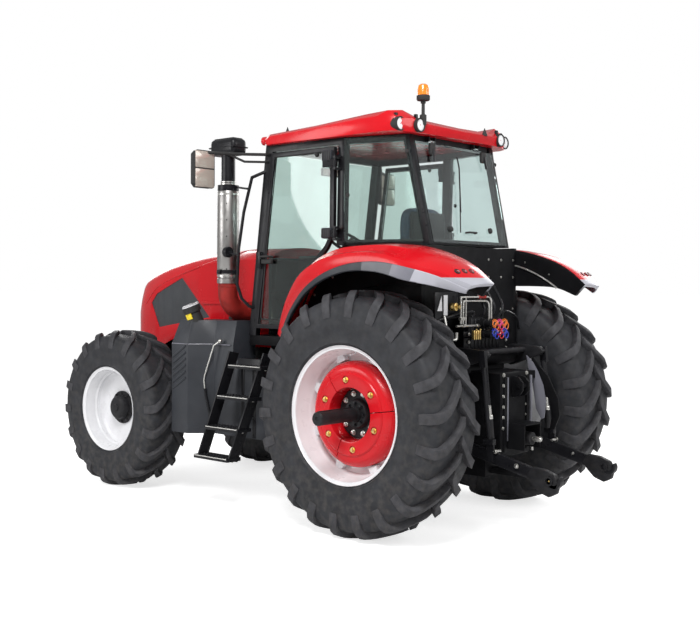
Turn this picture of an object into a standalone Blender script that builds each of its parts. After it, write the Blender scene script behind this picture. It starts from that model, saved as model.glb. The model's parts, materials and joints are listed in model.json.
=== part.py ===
"""Farm tractor with a closed cab, driven front axle and three-point hitch.

The tractor faces -Y, its left side is +X and +Z is up. Sizes are in metres. All lengths along Y
are measured from the rear axle, and the parent empty carries the tractor to the middle of its box.
"""

import math

import bmesh
import bpy
from mathutils import Matrix, Vector

GAP = 0.0003  # between pieces that touch
RUN = 0.006  # between a moving piece and its neighbour

# Wheels: tyre radii reach to the lug tips
REAR_TYRE_RADIUS = 0.907
REAR_TYRE_WIDTH = 0.527
REAR_FLANGE_RADIUS = 0.508
REAR_RIM_HALF = 0.2285
REAR_TRACK_HALF = 0.965
FRONT_TYRE_RADIUS = 0.711
FRONT_TYRE_WIDTH = 0.430
FRONT_FLANGE_RADIUS = 0.381
FRONT_RIM_HALF = 0.190
FRONT_TRACK_HALF = 0.905
FLANGE_HEIGHT = 0.025
FLANGE_WALL = 0.012
RIM_WALL = 0.014
WHEELBASE = 2.960
WHEEL_SEGMENTS = 36
REAR_LUGS = 22  # on each side of the tread
FRONT_LUGS = 18
REAR_LUG = 0.046
FRONT_LUG = 0.038
LUG_SHARE = 0.26  # of the pitch at the bar's top
LUG_FLANK = 0.07

REAR_DISC_FACE = 0.030  # outboard of the tyre's middle
REAR_DISC_WALL = 0.020
REAR_WELL_RADIUS = 0.445
WEIGHT_OUTER = 0.390
WEIGHT_INNER = 0.193
WEIGHT_THICK = 0.135
REAR_HUB_RADIUS = 0.165
REAR_HUB_STAND = 0.060
AXLE_BAR_RADIUS = 0.050
AXLE_BAR_END = 1.475
REAR_HUB_BACK = 0.100

FRONT_DISC_FACE = 0.020
FRONT_DISC_WALL = 0.016
FRONT_WELL_RADIUS = 0.335
FRONT_HUB_RADIUS = 0.118
FRONT_HUB_STAND = 0.085
FRONT_HUB_BACK = 0.070

KINGPIN_INSET = 0.245  # inboard of the front tyre's middle
KINGPIN_X = FRONT_TRACK_HALF - KINGPIN_INSET
KNUCKLE_RADIUS = 0.095
KNUCKLE_HALF_HEIGHT = 0.150
YOKE_EAR = 0.050
AXLE_BEAM_HALF = 0.075
AXLE_DIFF_RADIUS = 0.150
STEER_ARM_LENGTH = 0.220
STEER_ARM_INSET = 0.060
STEER_ARM_TOP = -0.082  # below the wheel axis
STEER_ARM_THICK = 0.035
TIE_ROD_RADIUS = 0.019

FRAME_BOTTOM = 0.880
FRAME_TOP = 1.120
FRAME_HALF = 0.240
BOLSTER_FRONT = WHEELBASE + 0.800
WEIGHT_BLOCK_FRONT = BOLSTER_FRONT + 0.390
SLAB_PITCH = 0.075
WEIGHT_BLOCK_HALF = 4 * SLAB_PITCH

ENGINE_FRONT = WHEELBASE - 0.260
ENGINE_HALF = 0.235
ENGINE_TOP = 1.720
ENGINE_BOTTOM = 0.560
GEARBOX_FRONT = 1.560
GEARBOX_BOTTOM = 0.560
GEARBOX_TOP = 1.240
GEARBOX_REAR = 0.400
HOUSING_REAR = 0.700
GEARBOX_HALF = 0.240
TRUMPET_RADIUS = 0.125

HOOD_FRONT = WHEELBASE + 0.810
HOOD_REAR = 1.990
HOOD_WALL = 0.016
HOOD_GAP = 0.010
HOOD_HINGE_Y = -1.930
HOOD_HINGE_Z = 2.120
HOOD_ARM = (0.120, 0.160)  # x of the hinge arm's two sides
HOOD_SLOT = 0.020  # free width beside the arm
COWL_REAR = 1.5353
COWL_BOTTOM = 1.300

CAB_SIDE = 0.712  # outer face of the pillars
DOOR_WALL = 0.036
GLASS_WALL = 0.006
FLOOR_BOTTOM = 1.340
FLOOR_TOP = 1.420
ROOF_BOTTOM = 3.000
CAB_TOP = ROOF_BOTTOM - GAP
PILLAR = 0.052
FRONT_POST_LOW = -1.462
FRONT_POST_HIGH = -1.262
FRONT_POST_DEEP = 0.080
FIREWALL_Y = 1.505
CAB_REAR_LOW = 0.281
CAB_REAR_HIGH = 0.092
SILL_Z = 2.160
SIDE_WALL = 0.045
SIDE_WALL_CLEAR = 0.0565  # to the rear tyre
SIDE_WALL_X = REAR_TRACK_HALF - REAR_TYRE_WIDTH / 2 - SIDE_WALL_CLEAR - SIDE_WALL
REAR_CORNER_X = SIDE_WALL_X - 0.085
DOOR_HINGE_X = 0.778
DOOR_HINGE_Y = -0.470
DOOR_HINGE_ROWS = (2.250, 2.800)
DOOR_KNUCKLE_HALF = 0.035
WINDOW_KNUCKLE_X = 0.300
WINDOW_KNUCKLE_HALF = 0.030
WINDOW_DROP = 0.0547  # below the cab's top
WINDOW_TOP = CAB_TOP - WINDOW_DROP
WINDOW_AXIS_Z = WINDOW_TOP + 0.010

BEACON_TOP = 3.370

HITCH_AXIS = (0.420, 1.300)  # y, z
LIFT_ARM_TIP = (0.680, 1.340)
LOWER_PIVOT = (0.330, 0.690)
LINK_HANG = (0.760, 0.597)
LINK_HOOK = (1.280, 0.485)
LIFT_ARM_X = 0.400
LINK_X = 0.400
HOOK_RADIUS = 0.055
LINK_HALF = 0.018
LINK_PIN_RADIUS = 0.016
LIFT_ARM_INNER = 0.355

REAR_AXLE_Z = REAR_TYRE_RADIUS
FRONT_AXLE_Z = FRONT_TYRE_RADIUS
FRONT_AXLE_Y = -WHEELBASE
REAR_END = LINK_HOOK[0] + HOOK_RADIUS
ORIGIN_Y = (WEIGHT_BLOCK_FRONT - REAR_END) / 2

MATERIALS = {  # colour, roughness, metallic
    "red_paint": ((0.60, 0.012, 0.020), 0.25, 0.0),
    "white_paint": ((0.75, 0.75, 0.76), 0.35, 0.0),
    "black_paint": ((0.018, 0.018, 0.020), 0.45, 0.0),
    "cast_black": ((0.025, 0.025, 0.027), 0.60, 0.0),
    "grey_plastic": ((0.050, 0.053, 0.060), 0.55, 0.0),
    "black_plastic": ((0.020, 0.020, 0.021), 0.60, 0.0),
    "tyre": ((0.030, 0.030, 0.032), 0.85, 0.0),
    "glass": ((0.55, 0.66, 0.62), 0.05, 0.0),
    "steel": ((0.55, 0.55, 0.56), 0.35, 0.9),
    "seat_fabric": ((0.030, 0.030, 0.034), 0.90, 0.0),
    "mirror_black": ((0.030, 0.030, 0.032), 0.40, 0.0),
}


def clear_scene():
    for item in list(bpy.data.objects):
        bpy.data.objects.remove(item, do_unlink=True)


def material(name):
    found = bpy.data.materials.get(name)
    if found is None:
        colour, rough, metallic = MATERIALS[name]
        found = bpy.data.materials.new(name)
        found.use_nodes = True
        shader = found.node_tree.nodes["Principled BSDF"]
        shader.inputs["Base Color"].default_value = (*colour, 1.0)
        shader.inputs["Roughness"].default_value = rough
        shader.inputs["Metallic"].default_value = metallic
    return found


def solid(bm, name="solid"):
    """Link a mesh object made from the bmesh, with its faces pointing out."""
    bmesh.ops.recalc_face_normals(bm, faces=bm.faces)
    mesh = bpy.data.meshes.new(name)
    bm.to_mesh(mesh)
    bm.free()
    item = bpy.data.objects.new(name, mesh)
    bpy.context.scene.collection.objects.link(item)
    return item


def loft(rings, closed=False):
    """Skin rings of equally many points, capping the first and the last unless closed."""
    bm = bmesh.new()
    made = [[bm.verts.new(point) for point in ring] for ring in rings]
    pairs = list(zip(made, made[1:]))
    if closed:
        pairs.append((made[-1], made[0]))
    for one, two in pairs:
        count = len(one)
        for i in range(count):
            j = (i + 1) % count
            bm.faces.new((one[i], one[j], two[j], two[i]))
    if not closed:
        bm.faces.new(made[0])
        bm.faces.new(made[-1])
    return solid(bm)


def prism(points, axis, low, high):
    """Extrude a flat outline along X (y, z), Y (x, z) or Z (x, y)."""
    def place(u, v, w):
        return {"X": (w, u, v), "Y": (u, w, v), "Z": (u, v, w)}[axis]

    return loft([[place(u, v, w) for u, v in points] for w in (low, high)])


def box(x, y, z, bevel=0.0):
    item = prism([(x[0], y[0]), (x[1], y[0]), (x[1], y[1]), (x[0], y[1])], "Z", z[0], z[1])
    if bevel:
        item = bevelled(item, bevel)
    return item


def bevelled(item, width, segments=1):
    bm = bmesh.new()
    bm.from_mesh(item.data)
    edges = [e for e in bm.edges if e.calc_face_angle(0.0) > math.radians(40)]
    bmesh.ops.bevel(bm, geom=edges, offset=width, segments=segments, profile=0.5, affect="EDGES",
                    clamp_overlap=True)
    bm.to_mesh(item.data)
    bm.free()
    return item


def lathe(profile, axis, centre, segments=WHEEL_SEGMENTS, closed=True):
    """Turn (along, radius) points about an axis through the centre; a radius of 0 is a pole."""
    bm = bmesh.new()
    rings = []
    for along, radius in profile:
        ring = []
        for i in range(segments if radius > 0 else 1):
            turn = 2 * math.pi * i / segments
            u = radius * math.cos(turn)
            v = radius * math.sin(turn)
            point = {"X": (along, u, v), "Y": (v, along, u), "Z": (u, v, along)}[axis]
            ring.append(bm.verts.new(Vector(centre) + Vector(point)))
        rings.append(ring)
    pairs = list(zip(rings, rings[1:]))
    if closed:
        pairs.append((rings[-1], rings[0]))
    for one, two in pairs:
        if len(one) == 1 and len(two) == 1:
            continue
        for i in range(segments):
            j = (i + 1) % segments
            corner = []
            for vert in (one[i % len(one)], one[j % len(one)], two[j % len(two)], two[i % len(two)]):
                if vert not in corner:
                    corner.append(vert)
            bm.faces.new(corner)
    return solid(bm)


def cylinder(axis, centre, radius, length, segments=16):
    """A cylinder starting at the centre point and running along the axis."""
    return lathe([(0, 0), (0, radius), (length, radius), (length, 0)], axis, centre, segments, False)


def tube(points, radius, sides=10):
    """Sweep a round section along straight runs with mitred corners."""
    points = [Vector(p) for p in points]
    runs = [(b - a).normalized() for a, b in zip(points, points[1:])]
    side = runs[0].orthogonal().normalized()
    rings = []
    for i, point in enumerate(points):
        before = runs[max(i - 1, 0)]
        after = runs[min(i, len(runs) - 1)]
        along = (before + after).normalized()
        stretch = 1 / max(along.dot(after), 0.3)
        side = (side - side.dot(after) * after).normalized()
        other = after.cross(side)
        ring = []
        for k in range(sides):
            turn = 2 * math.pi * k / sides
            offset = (side * math.cos(turn) + other * math.sin(turn)) * radius
            slide = -offset.dot(along) / along.dot(after)
            ring.append(point + offset + after * slide)
        rings.append(ring)
        side = side if stretch else side
    return loft(rings)


def bar(start, end, wide, deep, across=(1, 0, 0)):
    """A straight bar of rectangular section; its width lies along the across direction."""
    start, end = Vector(start), Vector(end)
    along = (end - start).normalized()
    across = Vector(across)
    across = (across - across.dot(along) * along).normalized() * wide / 2
    third = along.cross(across).normalized() * deep / 2
    rings = []
    for point in (start, end):
        rings.append([point + across + third, point - across + third,
                      point - across - third, point + across - third])
    return loft(rings)


def post(start, end, wide, deep):
    """An upright bar with level ends."""
    rings = []
    for x, y, z in (start, end):
        rings.append([(x + wide / 2, y + deep / 2, z), (x - wide / 2, y + deep / 2, z),
                      (x - wide / 2, y - deep / 2, z), (x + wide / 2, y - deep / 2, z)])
    return loft(rings)


def panel(points, wall, outward):
    """A flat sheet on the given corner points, its thickness growing outward."""
    points = [Vector(p) for p in points]
    normal = (points[1] - points[0]).cross(points[2] - points[1]).normalized()
    if normal.dot(Vector(outward)) < 0:
        normal = -normal
    return loft([points, [p + normal * wall for p in points]])


def inset(points, distance):
    """Move the edges of a flat outline inward by the distance."""
    area = sum(a[0] * b[1] - b[0] * a[1] for a, b in zip(points, points[1:] + points[:1])) / 2
    sign = 1 if area > 0 else -1
    lines = []
    for a, b in zip(points, points[1:] + points[:1]):
        run = Vector((b[0] - a[0], b[1] - a[1])).normalized()
        normal = Vector((-run.y, run.x)) * sign
        lines.append((Vector(a[:2]) + normal * distance, run))
    moved = []
    for (p, r), (q, s) in zip([lines[-1]] + lines[:-1], lines):
        cross = r.x * s.y - r.y * s.x
        step = ((q.x - p.x) * s.y - (q.y - p.y) * s.x) / cross
        moved.append((p.x + r.x * step, p.y + r.y * step))
    return moved


def combined(base, others, operation, solver="EXACT"):
    for other in others:
        cut = base.modifiers.new(operation, "BOOLEAN")
        cut.operation = operation
        cut.object = other
        cut.solver = solver
    graph = bpy.context.evaluated_depsgraph_get()
    mesh = bpy.data.meshes.new_from_object(base.evaluated_get(graph))
    base.modifiers.clear()
    base.data = mesh
    for other in others:
        bpy.data.objects.remove(other, do_unlink=True)
    return base


def tidy(mesh):
    bm = bmesh.new()
    bm.from_mesh(mesh)
    bmesh.ops.remove_doubles(bm, verts=bm.verts, dist=0.00002)
    bmesh.ops.dissolve_limit(bm, angle_limit=math.radians(0.05), verts=bm.verts, edges=bm.edges)
    bmesh.ops.triangulate(bm, faces=[f for f in bm.faces if len(f.verts) > 4])
    bm.to_mesh(mesh)
    bm.free()


def piece(name, paint, parts, cutters=(), pivot=(0, 0, 0), solver="EXACT", round_angle=35):
    """Fuse the parts, cut the cutters out and stand the result on its pivot under the tractor."""
    base = parts[0]
    if len(parts) > 1:
        combined(base, parts[1:], "UNION", solver)
    if cutters:
        combined(base, list(cutters), "DIFFERENCE", solver)
    if len(parts) > 1 or cutters:
        tidy(base.data)
    pivot = Vector(pivot)
    base.data.transform(Matrix.Translation(-pivot))
    base.name = name
    base.data.name = name
    base.location = pivot
    base.parent = bpy.data.objects["tractor"]
    base.data.materials.clear()
    base.data.materials.append(material(paint))
    base.data.shade_smooth()
    base.data.set_sharp_from_angle(angle=math.radians(round_angle))
    return base


def mirrored(item, name):
    """The same piece on the right side of the tractor."""
    mesh = item.data.copy()
    mesh.name = name
    mesh.transform(Matrix.Scale(-1, 4, (1, 0, 0)))
    mesh.flip_normals()
    other = bpy.data.objects.new(name, mesh)
    bpy.context.scene.collection.objects.link(other)
    other.location = (-item.location.x, item.location.y, item.location.z)
    other.parent = item.parent
    return other


def both(item, stem):
    item.name = stem + "_left"
    item.data.name = item.name
    return item, mirrored(item, stem + "_right")


# Wheels

def tyre_rings(radius, lug, width, flange, rim_half, pitch):
    """One side's rings from the rim seat to beside the middle: (distance, [(radius, angle), ...])."""
    half = width / 2
    seat = flange - FLANGE_HEIGHT + GAP
    tip = radius / math.cos(LUG_SHARE * pitch / 2)
    floor = radius - lug
    top = LUG_SHARE * pitch / 2
    foot = top + LUG_FLANK * pitch
    rings = []
    for distance, r in ((rim_half - GAP, seat), (rim_half - GAP, flange + 0.004), (half, radius * 0.70),
                        (half, radius * 0.79)):
        rings.append((distance, [(r, 0), (r, pitch / 2)]))
    for distance, high, low, turn in ((half * 0.91, tip - 0.010, floor - 0.012, 0.0),
                                      (half * 0.10, tip, floor + 0.002, pitch)):
        rings.append((distance, [(high, turn - top), (high, turn + top), (low, turn + foot),
                                 (low, turn + pitch - foot)]))
    return rings


def skin(bm, one, two):
    """Join two closed rings, where the second may have twice as many points."""
    count = len(one)
    for j in range(count):
        k = (j + 1) % count
        if len(two) == count:
            bm.faces.new((one[j], one[k], two[k], two[j]))
            continue
        bm.faces.new((one[j], two[2 * j], two[2 * j + 1]))
        bm.faces.new((one[j], two[2 * j + 1], two[(2 * j + 2) % (2 * count)], one[k]))


def tyre_body(middle, axle, lugs, lug, radius, width, flange, rim_half):
    """A tyre whose bars run from each shoulder to the middle, staggered by half a pitch."""
    bm = bmesh.new()
    pitch = 2 * math.pi / lugs

    def ring(distance, rows, start):
        made = []
        for i in range(lugs):
            for r, turn in rows:
                angle = start + i * pitch + turn
                made.append(bm.verts.new((middle + distance, axle[0] + r * math.cos(angle),
                                          axle[1] + r * math.sin(angle))))
        return made

    crown = radius - lug + 0.004
    centre = ring(0.0, [(crown, pitch), (crown, pitch * 1.5)], 0.0)
    seats = []
    for sign, start in ((1, 0.0), (-1, pitch / 2)):
        made = []
        for distance, rows in tyre_rings(radius, lug, width, flange, rim_half, pitch):
            made.append(ring(sign * distance, rows, start))
        for one, two in zip(made, made[1:]):
            skin(bm, one, two)
        turned = centre if sign > 0 else centre[1:] + centre[:1]
        skin(bm, turned, made[-1])
        seats.append(made[0])
    skin(bm, seats[0], seats[1][-1:] + seats[1][:-1])
    return solid(bm)


def tyres():
    axle = (0, REAR_AXLE_Z)
    rear = tyre_body(REAR_TRACK_HALF, axle, REAR_LUGS, REAR_LUG, REAR_TYRE_RADIUS, REAR_TYRE_WIDTH,
                     REAR_FLANGE_RADIUS, REAR_RIM_HALF)
    both(piece("tyre_rear", "tyre", [rear], pivot=(REAR_TRACK_HALF, 0, REAR_AXLE_Z)), "tyre_rear")
    axle = (FRONT_AXLE_Y, FRONT_AXLE_Z)
    front = tyre_body(FRONT_TRACK_HALF, axle, FRONT_LUGS, FRONT_LUG, FRONT_TYRE_RADIUS, FRONT_TYRE_WIDTH,
                      FRONT_FLANGE_RADIUS, FRONT_RIM_HALF)
    pivot = (FRONT_TRACK_HALF, FRONT_AXLE_Y, FRONT_AXLE_Z)
    both(piece("tyre_front", "tyre", [front], pivot=pivot), "tyre_front")


def rim_barrel(middle, flange, rim_half):
    """The outside of a rim from the outboard flange to the inboard one."""
    seat = flange - FLANGE_HEIGHT
    edge = rim_half + FLANGE_WALL
    outside = [(edge, flange), (rim_half, flange), (rim_half, seat), (-rim_half, seat), (-rim_half, flange),
               (-edge, flange), (-edge, seat - RIM_WALL)]
    return [(middle + a, r) for a, r in outside]


def rear_rim():
    middle = REAR_TRACK_HALF
    face = middle + REAR_DISC_FACE
    back = face - REAR_DISC_WALL
    lining = REAR_FLANGE_RADIUS - FLANGE_HEIGHT - RIM_WALL
    hub_back = middle - REAR_HUB_BACK
    profile = [(AXLE_BAR_END, 0), (AXLE_BAR_END, AXLE_BAR_RADIUS)]
    profile += [(face + REAR_HUB_STAND, AXLE_BAR_RADIUS), (face + REAR_HUB_STAND, REAR_HUB_RADIUS)]
    profile += [(face, REAR_HUB_RADIUS), (face, REAR_WELL_RADIUS - 0.025), (face + 0.020, REAR_WELL_RADIUS)]
    profile += [(middle + REAR_RIM_HALF * 0.60, lining - 0.010), (middle + REAR_RIM_HALF, lining + 0.006)]
    profile += rim_barrel(middle, REAR_FLANGE_RADIUS, REAR_RIM_HALF)
    profile += [(back, lining - 0.012), (back, REAR_HUB_RADIUS), (hub_back, 0.140), (hub_back, 0)]
    body = lathe(profile, "X", (0, 0, REAR_AXLE_Z), 2 * REAR_LUGS, False)
    pivot = (REAR_TRACK_HALF, 0, REAR_AXLE_Z)
    both(piece("rim_rear", "white_paint", [body], pivot=pivot), "rim_rear")


def wheel_weights():
    low = REAR_TRACK_HALF + REAR_DISC_FACE + GAP
    high = low + WEIGHT_THICK
    chamfer = 0.030
    profile = [
        (low, WEIGHT_INNER),
        (high - 0.012, WEIGHT_INNER),
        (high, WEIGHT_INNER + 0.014),
        (high, WEIGHT_OUTER - chamfer - 0.03),
        (high - chamfer, WEIGHT_OUTER - 0.006),
        (high - 2 * chamfer, WEIGHT_OUTER),
        (low, WEIGHT_OUTER),
    ]
    body = lathe(profile, "X", (0, 0, REAR_AXLE_Z))
    pivot = (REAR_TRACK_HALF, 0, REAR_AXLE_Z)
    both(piece("wheel_weight_rear", "red_paint", [body], pivot=pivot), "wheel_weight_rear")


def front_rim():
    middle = FRONT_TRACK_HALF
    face = middle + FRONT_DISC_FACE
    back = face - FRONT_DISC_WALL
    hub_face = face + FRONT_HUB_STAND
    lining = FRONT_FLANGE_RADIUS - FLANGE_HEIGHT - RIM_WALL
    profile = [(hub_face, 0), (hub_face, FRONT_HUB_RADIUS - 0.035)]
    profile += [(hub_face - 0.025, FRONT_HUB_RADIUS - 0.006), (face, FRONT_HUB_RADIUS)]
    profile += [(face, FRONT_WELL_RADIUS - 0.030), (face + 0.020, FRONT_WELL_RADIUS - 0.010)]
    profile += [(middle + FRONT_RIM_HALF * 0.60, lining - 0.010), (middle + FRONT_RIM_HALF, lining + 0.006)]
    profile += rim_barrel(middle, FRONT_FLANGE_RADIUS, FRONT_RIM_HALF)
    hub_back = middle - FRONT_HUB_BACK
    profile += [(back, lining - 0.012), (back, FRONT_HUB_RADIUS), (hub_back, FRONT_HUB_RADIUS), (hub_back, 0)]
    body = lathe(profile, "X", (0, FRONT_AXLE_Y, FRONT_AXLE_Z), 2 * FRONT_LUGS, False)
    pivot = (FRONT_TRACK_HALF, FRONT_AXLE_Y, FRONT_AXLE_Z)
    both(piece("rim_front", "white_paint", [body], pivot=pivot), "rim_front")


# Front axle

def front_axle():
    y = FRONT_AXLE_Y
    z = FRONT_AXLE_Z
    inner = KINGPIN_X - KNUCKLE_RADIUS - 0.020
    half = AXLE_BEAM_HALF
    ear_low = KNUCKLE_HALF_HEIGHT + RUN
    ear_high = ear_low + YOKE_EAR
    parts = [box((-inner, inner), (y - half, y + half), (z - half, z + half))]
    parts.append(cylinder("Y", (0, y - 0.17, z), AXLE_DIFF_RADIUS, 0.26, 20))
    parts.append(box((-0.13, 0.13), (y - 0.19, y + 0.19), (z, FRAME_BOTTOM - GAP)))
    for side in (-1, 1):
        x = side * inner
        parts.append(box(sorted((x, x - side * 0.05)), (y - 0.045, y + 0.045), (z - ear_high, z + ear_high)))
        for low, high in ((ear_low, ear_high), (-ear_high, -ear_low)):
            outline = [(x - side * 0.05, y - 0.045), (side * KINGPIN_X, y - 0.085)]
            for i in range(1, 6):
                turn = -math.pi / 2 + math.pi * i / 6
                outline.append((side * (KINGPIN_X + 0.085 * math.cos(turn)), y + 0.085 * math.sin(turn)))
            outline += [(side * KINGPIN_X, y + 0.085), (x - side * 0.05, y + 0.045)]
            parts.append(prism(outline, "Z", z + low, z + high))
    piece("front_axle", "cast_black", parts)


def knuckles():
    y = FRONT_AXLE_Y
    z = FRONT_AXLE_Z
    wheel_back = FRONT_TRACK_HALF - FRONT_HUB_BACK
    half = KNUCKLE_HALF_HEIGHT
    body = cylinder("Z", (KINGPIN_X, y, z - half), KNUCKLE_RADIUS, 2 * half, 20)
    hub = cylinder("X", (KINGPIN_X, y, z), 0.105, wheel_back - GAP - KINGPIN_X, 20)
    ball_x = KINGPIN_X - STEER_ARM_INSET
    ball_y = y + STEER_ARM_LENGTH
    reach = half + RUN - GAP
    pin = cylinder("Z", (KINGPIN_X, y, z - reach), 0.045, 2 * reach, 16)
    arm = prism([(KINGPIN_X - 0.04, y + 0.05), (KINGPIN_X + 0.04, y + 0.05), (ball_x + 0.028, ball_y),
                 (ball_x, ball_y + 0.028), (ball_x - 0.028, ball_y)], "Z",
                z + STEER_ARM_TOP - STEER_ARM_THICK, z + STEER_ARM_TOP)
    pivot = (KINGPIN_X, y, z)
    both(piece("knuckle", "cast_black", [body, hub, pin, arm], pivot=pivot), "knuckle")


def tie_rod():
    ball_x = KINGPIN_X - STEER_ARM_INSET
    ball_y = FRONT_AXLE_Y + STEER_ARM_LENGTH
    top = FRONT_AXLE_Z + STEER_ARM_TOP + GAP
    parts = [cylinder("X", (-ball_x, ball_y, top + 0.025), TIE_ROD_RADIUS, 2 * ball_x, 12)]
    for side in (-1, 1):
        parts.append(cylinder("Z", (side * ball_x, ball_y, top), 0.026, 0.055, 14))
    piece("tie_rod", "black_paint", parts, pivot=(ball_x, ball_y, top))


# Engine, gearbox and rear axle

COUPLERS = [(x, z) for x in (-0.105, -0.005, 0.095) for z in (1.478, 1.562)]

def engine_and_frame():
    parts = []
    half = FRAME_HALF
    parts.append(box((-half, half), (-BOLSTER_FRONT, FRONT_AXLE_Y - 0.34), (FRAME_BOTTOM, FRAME_TOP), 0.02))
    parts.append(box((-0.17, 0.17), (-WEIGHT_BLOCK_FRONT + 0.22, -BOLSTER_FRONT + 0.06), (0.93, 1.05)))
    for side in (-1, 1):
        x = sorted((side * half, side * (half - 0.06)))
        parts.append(box(x, (FRONT_AXLE_Y - 0.44, -GEARBOX_FRONT - 0.29), (FRAME_BOTTOM, FRAME_TOP)))
    parts.append(box((-0.12, 0.12), (FRONT_AXLE_Y - 0.44, -ENGINE_FRONT + 0.1), (FRAME_BOTTOM, FRAME_TOP - 0.02)))
    parts.append(box((-0.28, 0.28), (FRONT_AXLE_Y - 0.42, FRONT_AXLE_Y - 0.24), (FRAME_TOP - 0.01, 1.72)))
    half = ENGINE_HALF
    parts.append(box((-half, half), (-ENGINE_FRONT, -HOOD_REAR - 0.02), (0.80, ENGINE_TOP), 0.03))
    parts.append(box((-0.19, 0.19), (-ENGINE_FRONT + 0.15, -GEARBOX_FRONT - 0.05), (ENGINE_BOTTOM, 0.90), 0.03))
    parts.append(box((-half, half), (-HOOD_REAR - 0.10, -GEARBOX_FRONT - GAP),
                     (0.70, COWL_BOTTOM - 0.02)))
    front = -ENGINE_FRONT
    parts.append(cylinder("Y", (0, front - 0.06, 1.02), 0.105, 0.09, 20))
    parts.append(cylinder("Y", (0, front - 0.05, 1.36), 0.085, 0.08, 18))
    parts.append(cylinder("Y", (0, front - 0.18, 1.40), 0.230, 0.045, 20))
    parts.append(cylinder("Y", (0, front - 0.15, 1.40), 0.040, 0.12, 12))
    for side, y, z, r in ((1, front + 0.16, 1.30, 0.065), (-1, front + 0.16, 1.30, 0.065)):
        parts.append(cylinder("Y", (side * (ENGINE_HALF + 0.035), y, z), r, 0.17, 16))
    for y in (front + 0.42, front + 0.56):
        parts.append(cylinder("Z", (-ENGINE_HALF - 0.040, y, 0.98), 0.048, 0.22, 16))
    parts.append(box((-ENGINE_HALF - 0.085, -ENGINE_HALF + 0.01), (front + 0.38, front + 0.60), (1.16, 1.22), 0.01))
    parts.append(box((-0.11, 0.11), (front + 0.05, -HOOD_REAR - 0.06), (ENGINE_TOP - 0.01, ENGINE_TOP + 0.07), 0.02))
    for k in range(6):
        y = front + 0.09 + k * 0.098
        parts.append(cylinder("X", (-ENGINE_HALF - 0.045, y, 1.56), 0.024, 0.05, 10))
    manifold = [(-ENGINE_HALF - 0.045, y, 1.56) for y in (front + 0.05, front + 0.62)]
    parts.append(tube(manifold, 0.034, 10))
    piece("engine", "cast_black", parts, solver="MANIFOLD")


def gearbox():
    z = REAR_AXLE_Z
    half = GEARBOX_HALF
    parts = [box((-half, half), (-GEARBOX_FRONT, -1.10), (0.60, GEARBOX_TOP), 0.02)]
    parts.append(box((-0.20, 0.20), (-1.20, -0.30), (0.62, GEARBOX_TOP - 0.02), 0.02))
    parts.append(box((-0.26, 0.26), (-0.38, GEARBOX_REAR), (GEARBOX_BOTTOM, GEARBOX_TOP), 0.02))
    parts.append(box((-0.23, 0.23), (-0.05, 0.34), (GEARBOX_TOP - 0.02, FLOOR_BOTTOM - 0.01), 0.02))
    end = REAR_TRACK_HALF - REAR_HUB_BACK - GAP
    for side in (-1, 1):
        start = (min(0.20 * side, end * side), 0, z)
        parts.append(cylinder("X", start, TRUMPET_RADIUS, end - 0.20, 20))
        start = (min(0.24 * side, 0.34 * side), 0, z)
        parts.append(cylinder("X", start, 0.19, 0.10, 20))
        x = sorted((side * 0.44, side * 0.58))
        parts.append(box(x, (-0.08, 0.08), (z, FLOOR_BOTTOM - 0.06)))
        x = sorted((side * 0.20, side * 0.55))
        parts.append(box(x, (-1.42, -1.30), (GEARBOX_TOP - 0.12, FLOOR_BOTTOM - 0.06)))
        x = sorted((side * (LINK_X - 0.035 - RUN), side * (LINK_X - 0.065)))
        outline = [(0.05, z - 0.05), (0.05, 0.62), (0.27, 0.62), (0.39, 0.64), (0.39, 0.75), (0.30, z)]
        parts.append(prism(outline, "X", x[0], x[1]))
        x = sorted((side * 0.24, side * (LINK_X - 0.04)))
        parts.append(box(x, (0.07, 0.20), (0.66, 0.86)))
        pin = (min(side * (LINK_X - 0.07), side * (LINK_X + 0.075)), LOWER_PIVOT[0], LOWER_PIVOT[1])
        parts.append(cylinder("X", pin, LINK_PIN_RADIUS, 0.145, 12))
    reach = LIFT_ARM_INNER - GAP
    parts.append(cylinder("X", (-reach, HITCH_AXIS[0], HITCH_AXIS[1]), 0.070, 2 * reach, 20))
    parts.append(box((-0.26, 0.26), (0.29, HITCH_AXIS[0]), (1.18, 1.385)))
    parts.append(box((-0.20, 0.20), (0.36, HOUSING_REAR), (0.56, 1.20), 0.01))
    parts += hitch_housing()
    parts.append(box((-0.05, 0.05), (-0.20, 0.98), (0.405, 0.445)))
    parts.append(box((-0.11, 0.11), (0.30, 0.50), (0.38, 0.60)))
    parts.append(box((-0.08, 0.08), (-0.30, -0.10), (0.40, 0.60)))
    parts.append(box((-0.24, 0.25), (0.30, 0.43), (1.30, 1.61)))
    piece("gearbox", "cast_black", parts, solver="MANIFOLD")


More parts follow.
